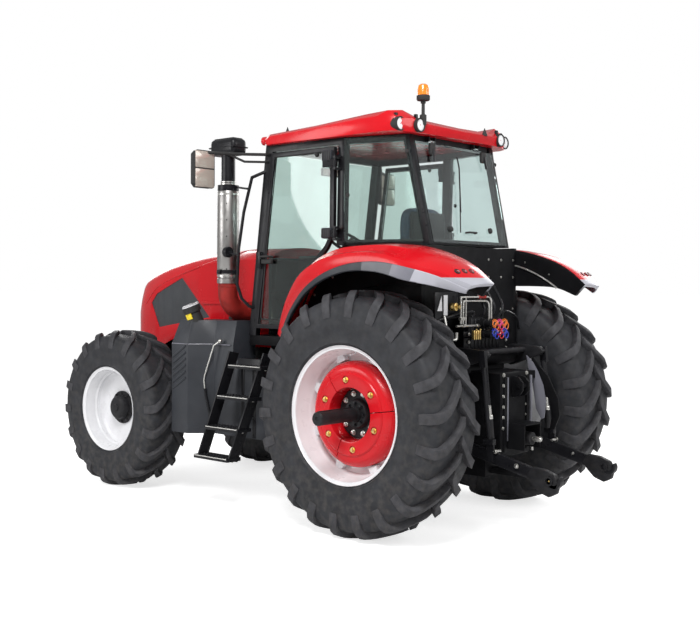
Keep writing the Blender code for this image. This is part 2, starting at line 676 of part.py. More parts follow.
def hitch_housing():
    """What stands on the housing between the lift arms: power take-off, top link bracket, couplers."""
    rear = HOUSING_REAR - 0.01
    parts = [cylinder("Y", (0, rear, 0.70), 0.022, 0.15, 14)]
    parts.append(lathe([(0, 0), (0, 0.062), (0.030, 0.052), (0.030, 0)], "Y", (0, rear, 0.70), 16, False))
    for side in (-1, 1):
        x = sorted((side * 0.105, side * 0.115))
        parts.append(box(x, (rear, rear + 0.16), (0.62, 0.815)))
        x = sorted((side * 0.034, side * 0.052))
        outline = [(rear, 1.00), (rear + 0.07, 1.02), (rear + 0.10, 1.06), (rear + 0.10, 1.12), (rear + 0.06, 1.16),
                   (rear, 1.17)]
        parts.append(prism(outline, "X", x[0], x[1]))
    parts.append(box((-0.11, 0.11), (rear, rear + 0.17), (0.805, 0.815)))
    parts.append(cylinder("X", (-0.062, rear + 0.065, 1.09), 0.016, 0.124, 12))
    for x in (-0.155, 0.155):
        parts.append(box((x - 0.018, x + 0.018), (rear, rear + 0.022), (0.60, 1.16)))
    arc = [(0.62, 1.20), (0.66, 1.29), (0.80, 1.15), (0.89, 0.98), (0.905, 0.85), (0.86, 0.74), (0.82, 0.74),
           (0.84, 0.86), (0.81, 0.97), (0.70, 1.10)]
    parts.append(prism(arc, "X", -0.310, -0.296))
    parts.append(box((-0.31, -0.19), (0.64, 0.69), (1.13, 1.19)))
    for x, z in COUPLERS:
        body = [(0, 0), (0, 0.034), (0.055, 0.034), (0.060, 0.026), (0.115, 0.026), (0.115, 0)]
        parts.append(lathe(body, "Y", (x, 0.425, z), 12, False))
    return parts


def front_weights():
    back = -BOLSTER_FRONT - GAP
    outline = [(-WEIGHT_BLOCK_FRONT + 0.03, 0.66), (-WEIGHT_BLOCK_FRONT, 0.74), (-WEIGHT_BLOCK_FRONT, 1.00),
               (-WEIGHT_BLOCK_FRONT + 0.05, 1.06), (back - 0.04, 1.06), (back, 1.02), (back, 0.66)]
    body = prism(outline, "X", -WEIGHT_BLOCK_HALF, WEIGHT_BLOCK_HALF)
    slot = box((-0.17 - GAP, 0.17 + GAP), (-WEIGHT_BLOCK_FRONT + 0.22 - GAP, back + 0.1),
               (0.93 - GAP, 1.05 + GAP))
    cuts = [slot]
    for k in range(-4, 4):
        x = (k + 0.5) * SLAB_PITCH
        cuts.append(box((x - 0.006, x + 0.006), (-WEIGHT_BLOCK_FRONT - 0.01, -WEIGHT_BLOCK_FRONT + 0.06), (0.6, 1.1)))
    piece("front_weights", "black_paint", [body], cuts)


# Hood and cowl: (y, half width at the side, bottom, shoulder, crown, top)
HOOD_SECTIONS = [
    (-HOOD_FRONT, 0.100, 1.215, 1.45, 1.52, 1.54),
    (-HOOD_FRONT + 0.12, 0.200, 1.200, 1.53, 1.66, 1.68),
    (-HOOD_FRONT + 0.21, 0.265, 1.190, 1.59, 1.77, 1.79),
    (-HOOD_FRONT + 0.33, 0.315, 1.185, 1.67, 1.875, 1.90),
    (-HOOD_FRONT + 0.55, 0.352, 1.200, 1.80, 1.955, 1.985),
    (-HOOD_FRONT + 0.82, 0.378, 1.310, 1.90, 2.025, 2.055),
    (-HOOD_FRONT + 1.27, 0.400, 1.445, 2.02, 2.105, 2.135),
    (-HOOD_REAR, 0.415, 1.500, 2.07, 2.145, 2.180),
]
HOOD_OPENING = [(1.41, 1.545), (0.62, 1.430), (0.48, 1.665), (0.58, 1.755), (1.00, 1.910)]  # behind the nose, z


def hood_ring(section):
    y, half, bottom, shoulder, crown, top = section
    side = [(half, bottom), (half, (bottom + shoulder) / 2), (half, shoulder),
            (half * 0.88, crown - 0.02), (half * 0.62, crown + 0.015), (half * 0.30, top - 0.005)]
    points = side + [(0, top)] + [(-x, z) for x, z in reversed(side)]
    return [(x, y, z) for x, z in points]


def hood():
    bm = bmesh.new()
    rings = [[bm.verts.new(p) for p in hood_ring(s)] for s in HOOD_SECTIONS]
    for one, two in zip(rings, rings[1:]):
        for i in range(len(one) - 1):
            bm.faces.new((one[i], one[i + 1], two[i + 1], two[i]))
    nose = rings[0]
    bm.faces.new(nose)
    shell = solid(bm)
    wall = shell.modifiers.new("wall", "SOLIDIFY")
    wall.thickness = HOOD_WALL
    wall.offset = -1
    wall.use_even_offset = True
    graph = bpy.context.evaluated_depsgraph_get()
    shell.data = bpy.data.meshes.new_from_object(shell.evaluated_get(graph))
    shell.modifiers.clear()
    window = prism([(y - HOOD_FRONT, z) for y, z in HOOD_OPENING], "X", -0.6, 0.6)
    mouth = box((-0.17, 0.17), (-HOOD_FRONT - 0.1, -HOOD_FRONT + 0.25), (1.255, 1.405), 0.02)
    shell = combined(shell, [window, mouth], "DIFFERENCE")
    parts = [shell]
    for side in (-1, 1):
        lamp = [(0, 0), (0, 0.032), (0.010, 0.038), (0.09, 0.038), (0.09, 0)]
        parts.append(lathe(lamp, "Y", (side * 0.060, -HOOD_FRONT - 0.004, 1.485), 16, False))
        x = sorted(side * edge for edge in HOOD_ARM)
        parts.append(box(x, (HOOD_HINGE_Y - 0.145, HOOD_HINGE_Y - 0.105), (HOOD_HINGE_Z, HOOD_HINGE_Z + 0.043)))
        parts.append(box(x, (HOOD_HINGE_Y - 0.140, HOOD_HINGE_Y), (HOOD_HINGE_Z - 0.014, HOOD_HINGE_Z + 0.013)))
        parts.append(cylinder("X", (x[0], HOOD_HINGE_Y, HOOD_HINGE_Z), 0.016, x[1] - x[0], 12))
    piece("hood", "red_paint", parts, pivot=(0, HOOD_HINGE_Y, HOOD_HINGE_Z))


GRILLE_WALL = 0.012
GRILLE_ROWS = [(1.45, 1.500, 1.600), (1.27, 1.500, 1.760), (1.00, 1.480, 1.925), (0.82, 1.450, 1.870),
               (0.55, 1.400, 1.775), (0.37, 1.220, 1.620)]  # behind the nose, bottom, top


def hood_half(y):
    """The hood's half width at a place along it."""
    for one, two in zip(HOOD_SECTIONS, HOOD_SECTIONS[1:]):
        if one[0] <= y <= two[0]:
            return one[1] + (two[1] - one[1]) * (y - one[0]) / (two[0] - one[0])
    return HOOD_SECTIONS[-1][1]


def hood_grille():
    """Mesh panels behind the side openings, joined by the front screen behind the nose."""
    left = []
    for behind, bottom, top in GRILLE_ROWS:
        y = behind - HOOD_FRONT
        left.append((hood_half(y) - HOOD_WALL - 0.0008, y, bottom, top))
    x, y, bottom, top = left[-1]
    left.append((x - 0.090, y - 0.050, bottom, top - 0.030))
    rings = []
    for side in (1, -1):
        rows = left if side > 0 else left[::-1]
        for x, y, bottom, top in rows:
            inner = x - GRILLE_WALL
            front = y + (GRILLE_WALL if (x, y) == left[-1][:2] else 0.0)
            rings.append([(side * x, y, bottom), (side * x, y, top), (side * inner, front, top),
                          (side * inner, front, bottom)])
    piece("hood_grille", "grey_plastic", [loft(rings)], pivot=(0, HOOD_HINGE_Y, HOOD_HINGE_Z))


def cowl():
    last = HOOD_SECTIONS[-1]
    rings = []
    for y in (-HOOD_REAR + HOOD_GAP, -COWL_REAR):
        rings.append([(x, y, z if z > last[2] + 0.01 else COWL_BOTTOM)
                      for x, _, z in hood_ring((y,) + last[1:])])
    body = loft(rings)
    slots = []
    pins = []
    for side in (-1, 1):
        low, high = HOOD_ARM[0] - HOOD_SLOT, HOOD_ARM[1] + HOOD_SLOT
        x = sorted((side * low, side * high))
        slots.append(box(x, (-HOOD_REAR - 0.01, HOOD_HINGE_Y + 0.025), (HOOD_HINGE_Z - 0.035, 2.300)))
        for wall, arm in ((low, HOOD_ARM[0] - GAP), (high, HOOD_ARM[1] + GAP)):
            wall += 0.004 if wall > arm else -0.004
            start = min(side * wall, side * arm)
            pins.append(cylinder("X", (start, HOOD_HINGE_Y, HOOD_HINGE_Z), 0.012, abs(wall - arm), 12))
    body = combined(body, slots, "DIFFERENCE")
    piece("cowl", "red_paint", [body] + pins)


# Cab

DOOR_OUTLINE = [(-1.392, 1.485), (-1.190, 2.930), (-0.500, 2.930), (-0.505, 2.240), (-0.575, 2.130),
                (-0.700, 2.020), (-0.830, 1.870), (-0.935, 1.690), (-1.020, 1.485)]
DOOR_BAND = 0.034
WHEEL_CENTRE = Vector((0, -1.020, 2.215))
WHEEL_TILT = 35
HUB_DROP = 0.045


def cab_base():
    parts = [box((0.012 - CAB_SIDE, CAB_SIDE - 0.012), (-FIREWALL_Y, -0.95), (FLOOR_BOTTOM, FLOOR_TOP))]
    inner = SIDE_WALL_X + SIDE_WALL
    parts.append(box((-inner, inner), (-1.00, CAB_REAR_LOW), (FLOOR_BOTTOM, FLOOR_TOP)))
    parts.append(box((-0.45, 0.45), (-FIREWALL_Y - 0.03, -FIREWALL_Y + 0.005), (FLOOR_BOTTOM, 2.080)))
    wall = [(-0.99, FLOOR_BOTTOM + 0.01), (-0.99, FLOOR_TOP + 0.02), (-0.90, 1.74), (-0.80, 1.90),
            (-0.68, 2.05), (-0.50, SILL_Z), (CAB_REAR_LOW, SILL_Z), (CAB_REAR_LOW, FLOOR_BOTTOM + 0.01)]
    for side in (-1, 1):
        x = sorted((side * SIDE_WALL_X, side * inner))
        parts.append(prism(wall, "X", x[0], x[1]))
        parts.append(box(sorted((side * 0.45, side * 0.57)), (-0.07, 0.07),
                         (FLOOR_BOTTOM - 0.06 + GAP, FLOOR_BOTTOM + 0.02)))
        parts.append(box(sorted((side * 0.42, side * 0.54)), (-1.41, -1.31),
                         (FLOOR_BOTTOM - 0.06 + GAP, FLOOR_BOTTOM + 0.02)))
    parts.append(box((-inner + 0.01, inner - 0.01), (CAB_REAR_LOW - 0.04, CAB_REAR_LOW - 0.002),
                     (FLOOR_BOTTOM + 0.01, SILL_Z - 0.01)))
    parts.append(box((-0.30, 0.30), (-0.75, -0.05), (FLOOR_TOP - 0.02, 1.55)))
    parts.append(box((-0.13, 0.13), (-1.36, -1.10), (FLOOR_TOP - 0.02, 2.02), 0.02))
    parts.append(box((-0.24, 0.24), (-1.40, -1.17), (1.86, 2.10), 0.02))
    parts.append(box((-0.45, 0.45), (-FIREWALL_Y - 0.03, -1.39), (2.050, 2.080)))
    along = wheel_axis()
    low = WHEEL_CENTRE - along * (HUB_DROP + GAP)
    parts.append(tube([low, low - along * 0.28], 0.030, 12))
    piece("cab_base", "black_plastic", parts)


def cab_frame():
    side = CAB_SIDE
    top = CAB_TOP
    parts = []
    half = PILLAR / 2
    for s in (-1, 1):
        x = s * (side - half)
        parts.append(post((x, FRONT_POST_LOW, FLOOR_TOP + GAP), (x, FRONT_POST_HIGH, top), PILLAR,
                          FRONT_POST_DEEP))
        parts.append(post((x, -0.470, SILL_Z + GAP), (x, -0.455, top), PILLAR, 0.075))
        rear_x = s * (REAR_CORNER_X)
        low = (rear_x, window_y(SILL_Z) - RUN - 0.030, SILL_Z + GAP)
        high = (s * (REAR_CORNER_X + 0.02), window_y(top) - RUN - 0.030, top)
        parts.append(post(low, high, PILLAR, 0.06))
        parts.append(bar((x, -1.300, top - half), (x, -0.440, top - half), PILLAR, PILLAR))
        parts.append(bar((x, -0.480, top - half), (s * (REAR_CORNER_X + 0.015), 0.075, top - half),
                         PILLAR, PILLAR))
        parts.append(bar((x - s * 0.010, -0.490, SILL_Z + 0.021),
                         (rear_x - s * 0.010, CAB_REAR_LOW - 0.04, SILL_Z + 0.021), 0.05, 0.04))
        rail = [(s * (side - 0.020), -1.300, 2.800), (s * 0.790, -1.390, 2.740), (s * 0.835, -1.440, 2.450),
                (s * 0.840, -1.495, 2.150), (s * 0.825, -1.530, 1.850), (s * 0.790, -1.510, 1.730),
                (s * 0.745, -1.465, 1.665), (s * (side - 0.012), -1.445, 1.650)]
        parts.append(tube(rail, 0.014, 8))
    parts.append(bar((-side + 0.03, -1.262, top - half), (side - 0.03, -1.262, top - half), 0.06, PILLAR,
                     (0, 1, 0)))
    parts.append(bar((-REAR_CORNER_X, 0.052, top - half), (REAR_CORNER_X, 0.052, top - half), 0.05, PILLAR,
                     (0, 1, 0)))
    parts.append(bar((-REAR_CORNER_X, 0.226, SILL_Z + 0.021), (REAR_CORNER_X, 0.226, SILL_Z + 0.021),
                     0.05, 0.04, (0, 1, 0)))
    for s in (-1, 1):
        x = sorted((s * (side - 0.010), s * (DOOR_HINGE_X + 0.012)))
        for z in DOOR_HINGE_ROWS:
            for low in (z - DOOR_KNUCKLE_HALF - GAP - 0.020, z + DOOR_KNUCKLE_HALF + GAP):
                parts.append(box(x, (DOOR_HINGE_Y - 0.014, DOOR_HINGE_Y + 0.014), (low, low + 0.020)))
        for end in (-1, 1):
            near = s * WINDOW_KNUCKLE_X + end * (WINDOW_KNUCKLE_HALF + GAP)
            parts.append(box(sorted((near, near + end * 0.014)), (0.060, window_y(WINDOW_AXIS_Z) + 0.014),
                             (WINDOW_AXIS_Z + 0.003, CAB_TOP - 0.004)))
    piece("cab_frame", "black_paint", parts)


def window_y(z):
    """Where the inner face of the rear window lies at a height."""
    slope = (CAB_REAR_HIGH - CAB_REAR_LOW) / (3.000 - 2.164)
    return CAB_REAR_LOW + (z - 2.164) * slope


def windscreen():
    slope = (FRONT_POST_HIGH - FRONT_POST_LOW) / (CAB_TOP - FLOOR_TOP)

    def at(x, z):
        return (x, FRONT_POST_LOW - FRONT_POST_DEEP / 2 - GAP + (z - FLOOR_TOP) * slope, z)

    wide = CAB_SIDE - 0.022
    corners = [at(wide, 1.440), at(wide, WINDOW_TOP), at(-wide, WINDOW_TOP), at(-wide, 1.440), at(-0.455, 1.440),
               at(-0.455, 2.086), at(0.455, 2.086), at(0.455, 1.440)]
    piece("windscreen", "glass", [panel(corners, GLASS_WALL, (0, -1, 0))])


def quarter_glass():
    front_x = CAB_SIDE + 0.0022
    rear_low = (REAR_CORNER_X + 0.044, CAB_REAR_LOW - 0.045)
    low_z = SILL_Z + 0.020
    high_z = CAB_TOP - 0.012
    front = (front_x, -0.425)
    rear = (rear_low[0] - 0.012, rear_low[1] - 0.01)
    run = Vector((rear[0] - front[0], rear[1] - front[1], 0))
    out = Vector((-run.y, run.x, 0)) * -1
    out = Vector((run.y, -run.x, 0))
    lean = 0.16
    corners = [(front[0], front[1], low_z), (rear[0], rear[1], low_z)]
    share = 1 - lean / run.length
    top_rear = (front[0] + run.x * share, front[1] + run.y * share)
    corners += [(top_rear[0], top_rear[1], high_z), (front[0], front[1], high_z)]
    body = panel(corners, GLASS_WALL, out)
    both(piece("quarter_glass", "glass", [body]), "quarter_glass")


def rear_window():
    def at(x, z):
        return (x, window_y(z), z)

    wide = REAR_CORNER_X
    low = SILL_Z + 0.015
    corners = [at(wide - 0.015, low), at(wide, WINDOW_TOP), at(-wide, WINDOW_TOP), at(0.015 - wide, low)]
    parts = [panel(corners, GLASS_WALL, (0, 1, 0))]
    axis = (0, window_y(WINDOW_AXIS_Z) + 0.004, WINDOW_AXIS_Z)
    for side in (-1, 1):
        start = (side * WINDOW_KNUCKLE_X - WINDOW_KNUCKLE_HALF, axis[1], axis[2])
        parts.append(cylinder("X", start, 0.013, 2 * WINDOW_KNUCKLE_HALF, 10))
    piece("rear_window", "glass", parts, pivot=axis)


def doors():
    low = CAB_SIDE + RUN
    high = low + DOOR_WALL
    outline = DOOR_OUTLINE
    hole = inset(outline, DOOR_BAND)
    parts = [prism(outline, "X", low, high)]
    reach = DOOR_KNUCKLE_HALF
    for z in DOOR_HINGE_ROWS:
        parts.append(box((high - 0.012, DOOR_HINGE_X + 0.004), (-0.600, DOOR_HINGE_Y), (z - 0.03, z + 0.03)))
        parts.append(cylinder("Z", (DOOR_HINGE_X, DOOR_HINGE_Y, z - reach), 0.013, 2 * reach, 10))
    parts.append(box((high - 0.004, high + 0.030), (-1.345, -1.300), (1.98, 2.12)))
    cut = prism(hole, "X", low - 0.01, high + 0.001)
    pivot = (DOOR_HINGE_X, DOOR_HINGE_Y, 2.20)
    body = combined(parts[0], [cut], "DIFFERENCE")
    both(piece("door", "black_paint", [body] + parts[1:], pivot=pivot), "door")
    pane = prism(inset(outline, DOOR_BAND + GAP), "X", low + 0.012, low + 0.012 + GLASS_WALL)
    both(piece("door_glass", "glass", [pane], pivot=pivot), "door_glass")


ROOF_SECTIONS = [  # half width share, rows of (y, z) from the lower front edge over the top to the back
    (0.00, [(-1.365, ROOF_BOTTOM), (-1.385, 3.045), (-1.300, 3.105), (-0.700, 3.125), (-0.100, 3.110),
            (0.150, 3.095), (0.205, 3.060), (0.190, ROOF_BOTTOM)]),
    (0.45, [(-1.350, ROOF_BOTTOM), (-1.370, 3.045), (-1.285, 3.105), (-0.700, 3.125), (-0.100, 3.118),
            (0.120, 3.110), (0.190, 3.070), (0.175, ROOF_BOTTOM)]),
    (0.62, [(-1.330, ROOF_BOTTOM), (-1.350, 3.045), (-1.270, 3.102), (-0.700, 3.125), (-0.150, 3.160),
            (0.070, 3.170), (0.160, 3.100), (0.150, ROOF_BOTTOM)]),
    (0.73, [(-1.290, ROOF_BOTTOM), (-1.310, 3.045), (-1.240, 3.090), (-0.700, 3.115), (-0.200, 3.150),
            (0.020, 3.160), (0.110, 3.090), (0.100, ROOF_BOTTOM)]),
    (0.78, [(-1.230, ROOF_BOTTOM), (-1.240, 3.040), (-1.190, 3.065), (-0.700, 3.085), (-0.250, 3.110),
            (-0.050, 3.115), (0.030, 3.060), (0.020, ROOF_BOTTOM)]),
]


BEACON = (0.500, 0.175)
LAMP = [(0, 0), (0, 0.040), (0.090, 0.044), (0.110, 0.044), (0.110, 0)]
LAMP_FRONT = [(0, 0), (0, 0.036), (0.016, 0.036), (0.090, 0.030), (0.090, 0)]


def roof():
    rings = []
    for share, rows in reversed(ROOF_SECTIONS[1:]):
        rings.append([(-share, y, z) for y, z in rows])
    for share, rows in ROOF_SECTIONS:
        rings.append([(share, y, z) for y, z in rows])
    parts = [loft(rings)]
    parts.append(cylinder("Z", (BEACON[0], BEACON[1], 3.02), 0.014, 0.22, 8))
    for side in (-1, 1):
        for x, y in ((0.705, 0.070), (0.545, 0.135)):
            parts.append(lathe(LAMP, "Y", (side * x, y - 0.06, ROOF_BOTTOM + 0.055), 14, False))
            parts.append(lathe(LAMP_FRONT, "Y", (side * x, -1.335 - 0.09 * (0.705 - x), ROOF_BOTTOM + 0.045), 14, False))
    parts.append(lathe([(0, 0), (0, 0.050), (0.030, 0.050), (0.035, 0.042), (0.120, 0.038), (0.150, 0.025),
                        (0.155, 0)], "Z", (BEACON[0], BEACON[1], BEACON_TOP - 0.155), 14, False))
    piece("roof", "red_paint", parts)


def seat():
    parts = [box((-0.17, 0.17), (-0.62, -0.28), (1.55 + GAP, 1.78))]
    parts.append(box((-0.25, 0.25), (-0.76, -0.24), (1.77, 1.90), 0.03))
    parts.append(box((-0.235, 0.235), (-0.29, -0.15), (1.85, 2.48), 0.03))
    piece("seat", "seat_fabric", parts)


def wheel_axis():
    return Matrix.Rotation(-math.radians(WHEEL_TILT), 3, "X") @ Vector((0, 0, 1))


def steering_wheel():
    rings = []
    for i in range(24):
        turn = 2 * math.pi * i / 24
        out = Vector((math.cos(turn), math.sin(turn), 0))
        rings.append([out * (0.195 + 0.014 * math.cos(a)) + Vector((0, 0, 0.014 * math.sin(a)))
                      for a in [2 * math.pi * k / 8 for k in range(8)]])
    parts = [loft(rings, closed=True)]
    for turn in (90, 210, 330):
        out = Vector((math.cos(math.radians(turn)), math.sin(math.radians(turn)), 0))
        parts.append(bar(out * 0.02, out * 0.19, 0.030, 0.010, out.cross((0, 0, 1))))
    parts.append(cylinder("Z", (0, 0, -HUB_DROP), 0.036, HUB_DROP + 0.015, 14))
    for part in parts:
        turned = Matrix.Rotation(-math.radians(WHEEL_TILT), 4, "X")
        part.data.transform(Matrix.Translation(WHEEL_CENTRE) @ turned)
    piece("steering_wheel", "black_plastic", parts, pivot=WHEEL_CENTRE)


# Fender: (angle forward of the top, inner radius, shoulder x, shoulder drop, outer x, outer radius)
FENDER_SECTIONS = [
    (60, 1.110, 0.86, 0.025, 0.930, 1.030),
    (50, 1.170, 0.88, 0.030, 0.970, 1.022),
    (40, 1.225, 0.90, 0.035, 1.020, 1.012),
    (28, 1.270, 0.93, 0.040, 1.085, 1.008),
    (14, 1.262, 0.97, 0.045, 1.135, 1.018),
    (0, 1.248, 0.99, 0.045, 1.150, 1.042),
    (-14, 1.272, 1.00, 0.040, 1.150, 1.068),
    (-27, 1.303, 0.99, 0.025, 1.140, 1.100),
    (-36, 1.325, 0.94, 0.015, 1.060, 1.165),
    (-44, 1.330, 0.84, 0.010, 0.910, 1.235),
]
FENDER_WALL = 0.024
FENDER_INNER_X = SIDE_WALL_X + SIDE_WALL + GAP


def fender():
    rings = []
    for angle, inner, shoulder_x, drop, outer_x, outer in FENDER_SECTIONS:
        turn = math.radians(angle)
        wall = FENDER_WALL
        inner_x = FENDER_INNER_X
        section = [
            (inner_x, inner), (shoulder_x, inner - drop), (outer_x, (inner + outer) / 2), (outer_x, outer),
            (outer_x - wall, outer), (outer_x - wall, (inner + outer) / 2 - wall * 0.4),
            (shoulder_x - wall * 0.5, inner - drop - wall), (inner_x + wall, inner - wall),
            (inner_x + wall, outer + 0.02), (inner_x, outer + 0.02),
        ]
        rings.append([(x, -r * math.sin(turn), REAR_AXLE_Z + r * math.cos(turn)) for x, r in section])
    both(piece("fender", "red_paint", [loft(rings)]), "fender")


# Tank, steps, exhaust, mirrors

TANK_INNER = 0.580
TANK_FRONT = [(0.62, -2.095), (0.85, -2.120), (1.00, -2.170), (1.00, -1.960), (0.84, -1.800)]
TANK_SHRINK = [(0.62, -2.090), (0.80, -2.105), (0.93, -2.135), (0.93, -1.990), (0.78, -1.830)]
TANK_SIDE = 0.840
TANK_REAR = -1.120
TANK_SHOULDER_REAR = -1.560
TANK_BOTTOM = 0.570
TANK_STEP = 1.215
TANK_BREAK = 1.336
TANK_TOP = 1.540


NECK_FOOT = Vector((0.845, -1.990, 1.470))


def tank_ring(front, side, rear, z):
    points = [(TANK_INNER, front[0][1])] + front + [(side, rear), (TANK_INNER, rear)]
    return [(x, y, z) for x, y in points]


def tank_body():
    low = [tank_ring(TANK_FRONT, TANK_SIDE, TANK_REAR, z) for z in (TANK_BOTTOM, TANK_STEP)]
    high = [tank_ring(TANK_FRONT, TANK_SIDE, TANK_SHOULDER_REAR, z) for z in (TANK_STEP - 0.05, TANK_BREAK)]
    high.append(tank_ring(TANK_SHRINK, TANK_SIDE - 0.06, TANK_SHOULDER_REAR - 0.02, TANK_TOP))
    made = [loft(low), loft(high)]
    for y, start in ((-1.75, ENGINE_HALF), (-1.25, GEARBOX_HALF)):
        made.append(box((start + GAP, TANK_INNER + 0.02), (y - 0.04, y + 0.04), (0.90, 1.00)))
    return made


def side_tank():
    neck = lathe([(0, 0), (0, 0.066), (0.150, 0.060), (0.150, 0.076), (0.215, 0.076), (0.215, 0)], "Z",
                 (0, 0, 0), 16, False)
    lean = Matrix.Rotation(math.radians(18), 4, "Y") @ Matrix.Rotation(math.radians(12), 4, "X")
    neck.data.transform(Matrix.Translation(NECK_FOOT) @ lean)
    piece("fuel_tank", "grey_plastic", tank_body() + [neck])
    right = piece("toolbox", "grey_plastic", tank_body())
    right.data.transform(Matrix.Scale(-1, 4, (1, 0, 0)))
    right.data.flip_normals()


STEP_ROWS = [  # outer x, front y, rear y, top z
    (1.00, -1.450, -1.060, 1.190),
    (1.05, -1.530, -1.150, 0.935),
    (1.10, -1.620, -1.220, 0.680),
    (1.15, -1.700, -1.290, 0.440),
]
STEP_DEEP = 0.150
STEP_THICK = 0.030


def steps():
    parts = []
    first, last = STEP_ROWS[0], STEP_ROWS[-1]
    for k in (1, 2):
        shift = 0.020 if k == 1 else -0.020
        start = (first[0] - 0.10, first[k] + shift - 0.055 * (k == 1), TANK_BREAK - 0.05)
        end = (last[0] - 0.075, last[k] + shift, last[3] - STEP_THICK)
        parts.append(bar(start, end, 0.110, 0.014, (1, 0, 0)))
    for x, front, rear, top in STEP_ROWS:
        parts.append(box((x - STEP_DEEP, x), (front, rear), (top - STEP_THICK, top)))
    parts.append(box((TANK_SIDE + GAP, 0.93), (-1.40, -1.14), (1.16, 1.24)))
    both(piece("steps", "black_paint", parts), "steps")


STACK = (0.720, -1.760)
STACK_RADIUS = 0.094


def exhaust():
    x, y = STACK
    start = 0.415 + GAP
    path = [(start, y, 1.620), (0.560, y, 1.620), (0.640, y, 1.645), (0.700, y, 1.705), (x, y, 1.790),
            (x, y, 1.860)]
    parts = [tube(path, 0.078, 14)]
    parts.append(lathe([(1.84, 0), (1.84, STACK_RADIUS), (2.70, STACK_RADIUS), (2.70, 0)], "Z", (x, y, 0),
                       20, False))
    parts.append(cylinder("Z", (x, y, 2.68), 0.060, 0.27, 16))
    head = [(-0.18, 0.00), (-0.155, 0.085), (-0.09, 0.10), (0.09, 0.10), (0.155, 0.085), (0.18, 0.00),
            (0.155, -0.085), (0.09, -0.10), (-0.09, -0.10), (-0.155, -0.085)]
    outline = [(x + 0.055 * b / 0.1, y + a * 0.9) for a, b in head]
    rings = []
    for z, share in ((2.915, 0.75), (2.945, 1.0), (3.035, 1.0), (3.065, 0.8)):
        rings.append([(x + (px - x) * share * 1.6, y + (py - y) * share, z) for px, py in outline])
    parts.append(loft(rings))
    piece("exhaust", "steel", parts)


def mirror_parts():
    arm_z = 2.925
    root = CAB_SIDE + GAP
    parts = [tube([(root, -1.272, arm_z), (0.750, -1.272, arm_z), (0.880, -1.390, arm_z), (1.180, -1.560, arm_z),
                   (1.180, -1.575, 2.80)], 0.013, 8)]
    parts.append(tube([(root, -1.284, 2.865), (0.745, -1.284, 2.865), (0.870, -1.395, 2.865),
                       (1.000, -1.468, 2.925)], 0.010, 8))
    head = box((1.075, 1.285), (-1.615, -1.535), (2.635, 2.935), 0.03)
    parts.append(head)
    return parts


def mirrors():
    both(piece("mirror", "mirror_black", mirror_parts()), "mirror")


# Three-point hitch

def lift_arms():
    y0, z0 = HITCH_AXIS
    y1, z1 = LIFT_ARM_TIP
    parts = []
    low = LIFT_ARM_INNER
    high = LIFT_ARM_X + 0.010
    outline = [(y0 - 0.085, z0), (y0 - 0.06, z0 - 0.06), (y0, z0 - 0.085), (y1, z1 - 0.032),
               (y1 + 0.032, z1), (y1, z1 + 0.032), (y0, z0 + 0.085), (y0 - 0.06, z0 + 0.06)]
    for side in (-1, 1):
        x = sorted((side * low, side * high))
        parts.append(prism(outline, "X", x[0], x[1]))
    parts.append(cylinder("X", (-low - 0.01, y0 + 0.115, z0 + 0.045), 0.022, 2 * low + 0.02, 12))
    piece("lift_arms", "cast_black", parts, pivot=(0, y0, z0))


def lift_rods():
    y1, z1 = LIFT_ARM_TIP
    y2, z2 = LINK_HANG
    x = LIFT_ARM_X + 0.010 + GAP
    lean = (y2 - y1) / (z2 - z1)
    middle = x + 0.016
    parts = [bar((middle, y1 + lean * 0.03, z1 + 0.03), (middle, y1 - lean * 0.09, z1 - 0.09), 0.032, 0.055)]
    parts.append(tube([(middle, y1 - lean * 0.07, z1 - 0.07), (middle, y2 + lean * 0.12, z2 + 0.12)], 0.017, 10))
    parts.append(box((x - 0.004, x + 0.038), (y2 - 0.055, y2 + 0.03), (z2 + 0.095, z2 + 0.135)))
    near = LINK_X + LINK_HALF + RUN
    parts.append(box((near, near + 0.014), (y2 - 0.03, y2 + 0.03), (z2 - 0.03, z2 + 0.12)))
    both(piece("lift_rod", "black_paint", parts, pivot=(x, y1, z1)), "lift_rod")


def lower_links():
    y0, z0 = LOWER_PIVOT
    y2, z2 = LINK_HANG
    y3, z3 = LINK_HOOK
    x = (LINK_X - LINK_HALF, LINK_X + LINK_HALF)
    outline = [(y0 - 0.035, z0), (y0 - 0.02, z0 - 0.03), (y0 + 0.02, z0 - 0.038), (y2, z2 - 0.045),
               (y3 - 0.05, z3 - 0.045), (y3 - 0.05, z3 + 0.045), (y2, z2 + 0.045), (y0 + 0.02, z0 + 0.038),
               (y0 - 0.02, z0 + 0.03)]
    parts = [prism(outline, "X", x[0], x[1])]
    ring = []
    for i in range(15):
        turn = math.radians(120 + i * 20)
        ring.append((y3 + HOOK_RADIUS * math.cos(turn), z3 + HOOK_RADIUS * math.sin(turn)))
    for i in range(12, -1, -1):
        turn = math.radians(140 + i * 20)
        ring.append((y3 + 0.026 * math.cos(turn), z3 + 0.026 * math.sin(turn)))
    parts.append(prism(ring, "X", LINK_X - 0.026, LINK_X + 0.026))
    hole = cylinder("X", (LINK_X - 0.1, y0, z0), LINK_PIN_RADIUS / math.cos(math.pi / 12) + 0.0004, 0.2, 12)
    both(piece("lower_link", "black_paint", parts, [hole], pivot=(LINK_X, y0, z0)), "lower_link")


def main():
    clear_scene()
    root = bpy.data.objects.new("tractor", None)
    root.location = (0, ORIGIN_Y, 0)
    bpy.context.scene.collection.objects.link(root)
    tyres()
    rear_rim()
    wheel_weights()
    front_rim()
    front_axle()
    knuckles()
    tie_rod()
    engine_and_frame()
    gearbox()
    front_weights()
    hood()
    hood_grille()
    cowl()
    cab_base()
    cab_frame()
    windscreen()
    quarter_glass()
    rear_window()
    doors()
    roof()
    seat()
    steering_wheel()
    fender()
    side_tank()
    steps()
    exhaust()
    mirrors()
    lift_arms()
    lift_rods()
    lower_links()


main()
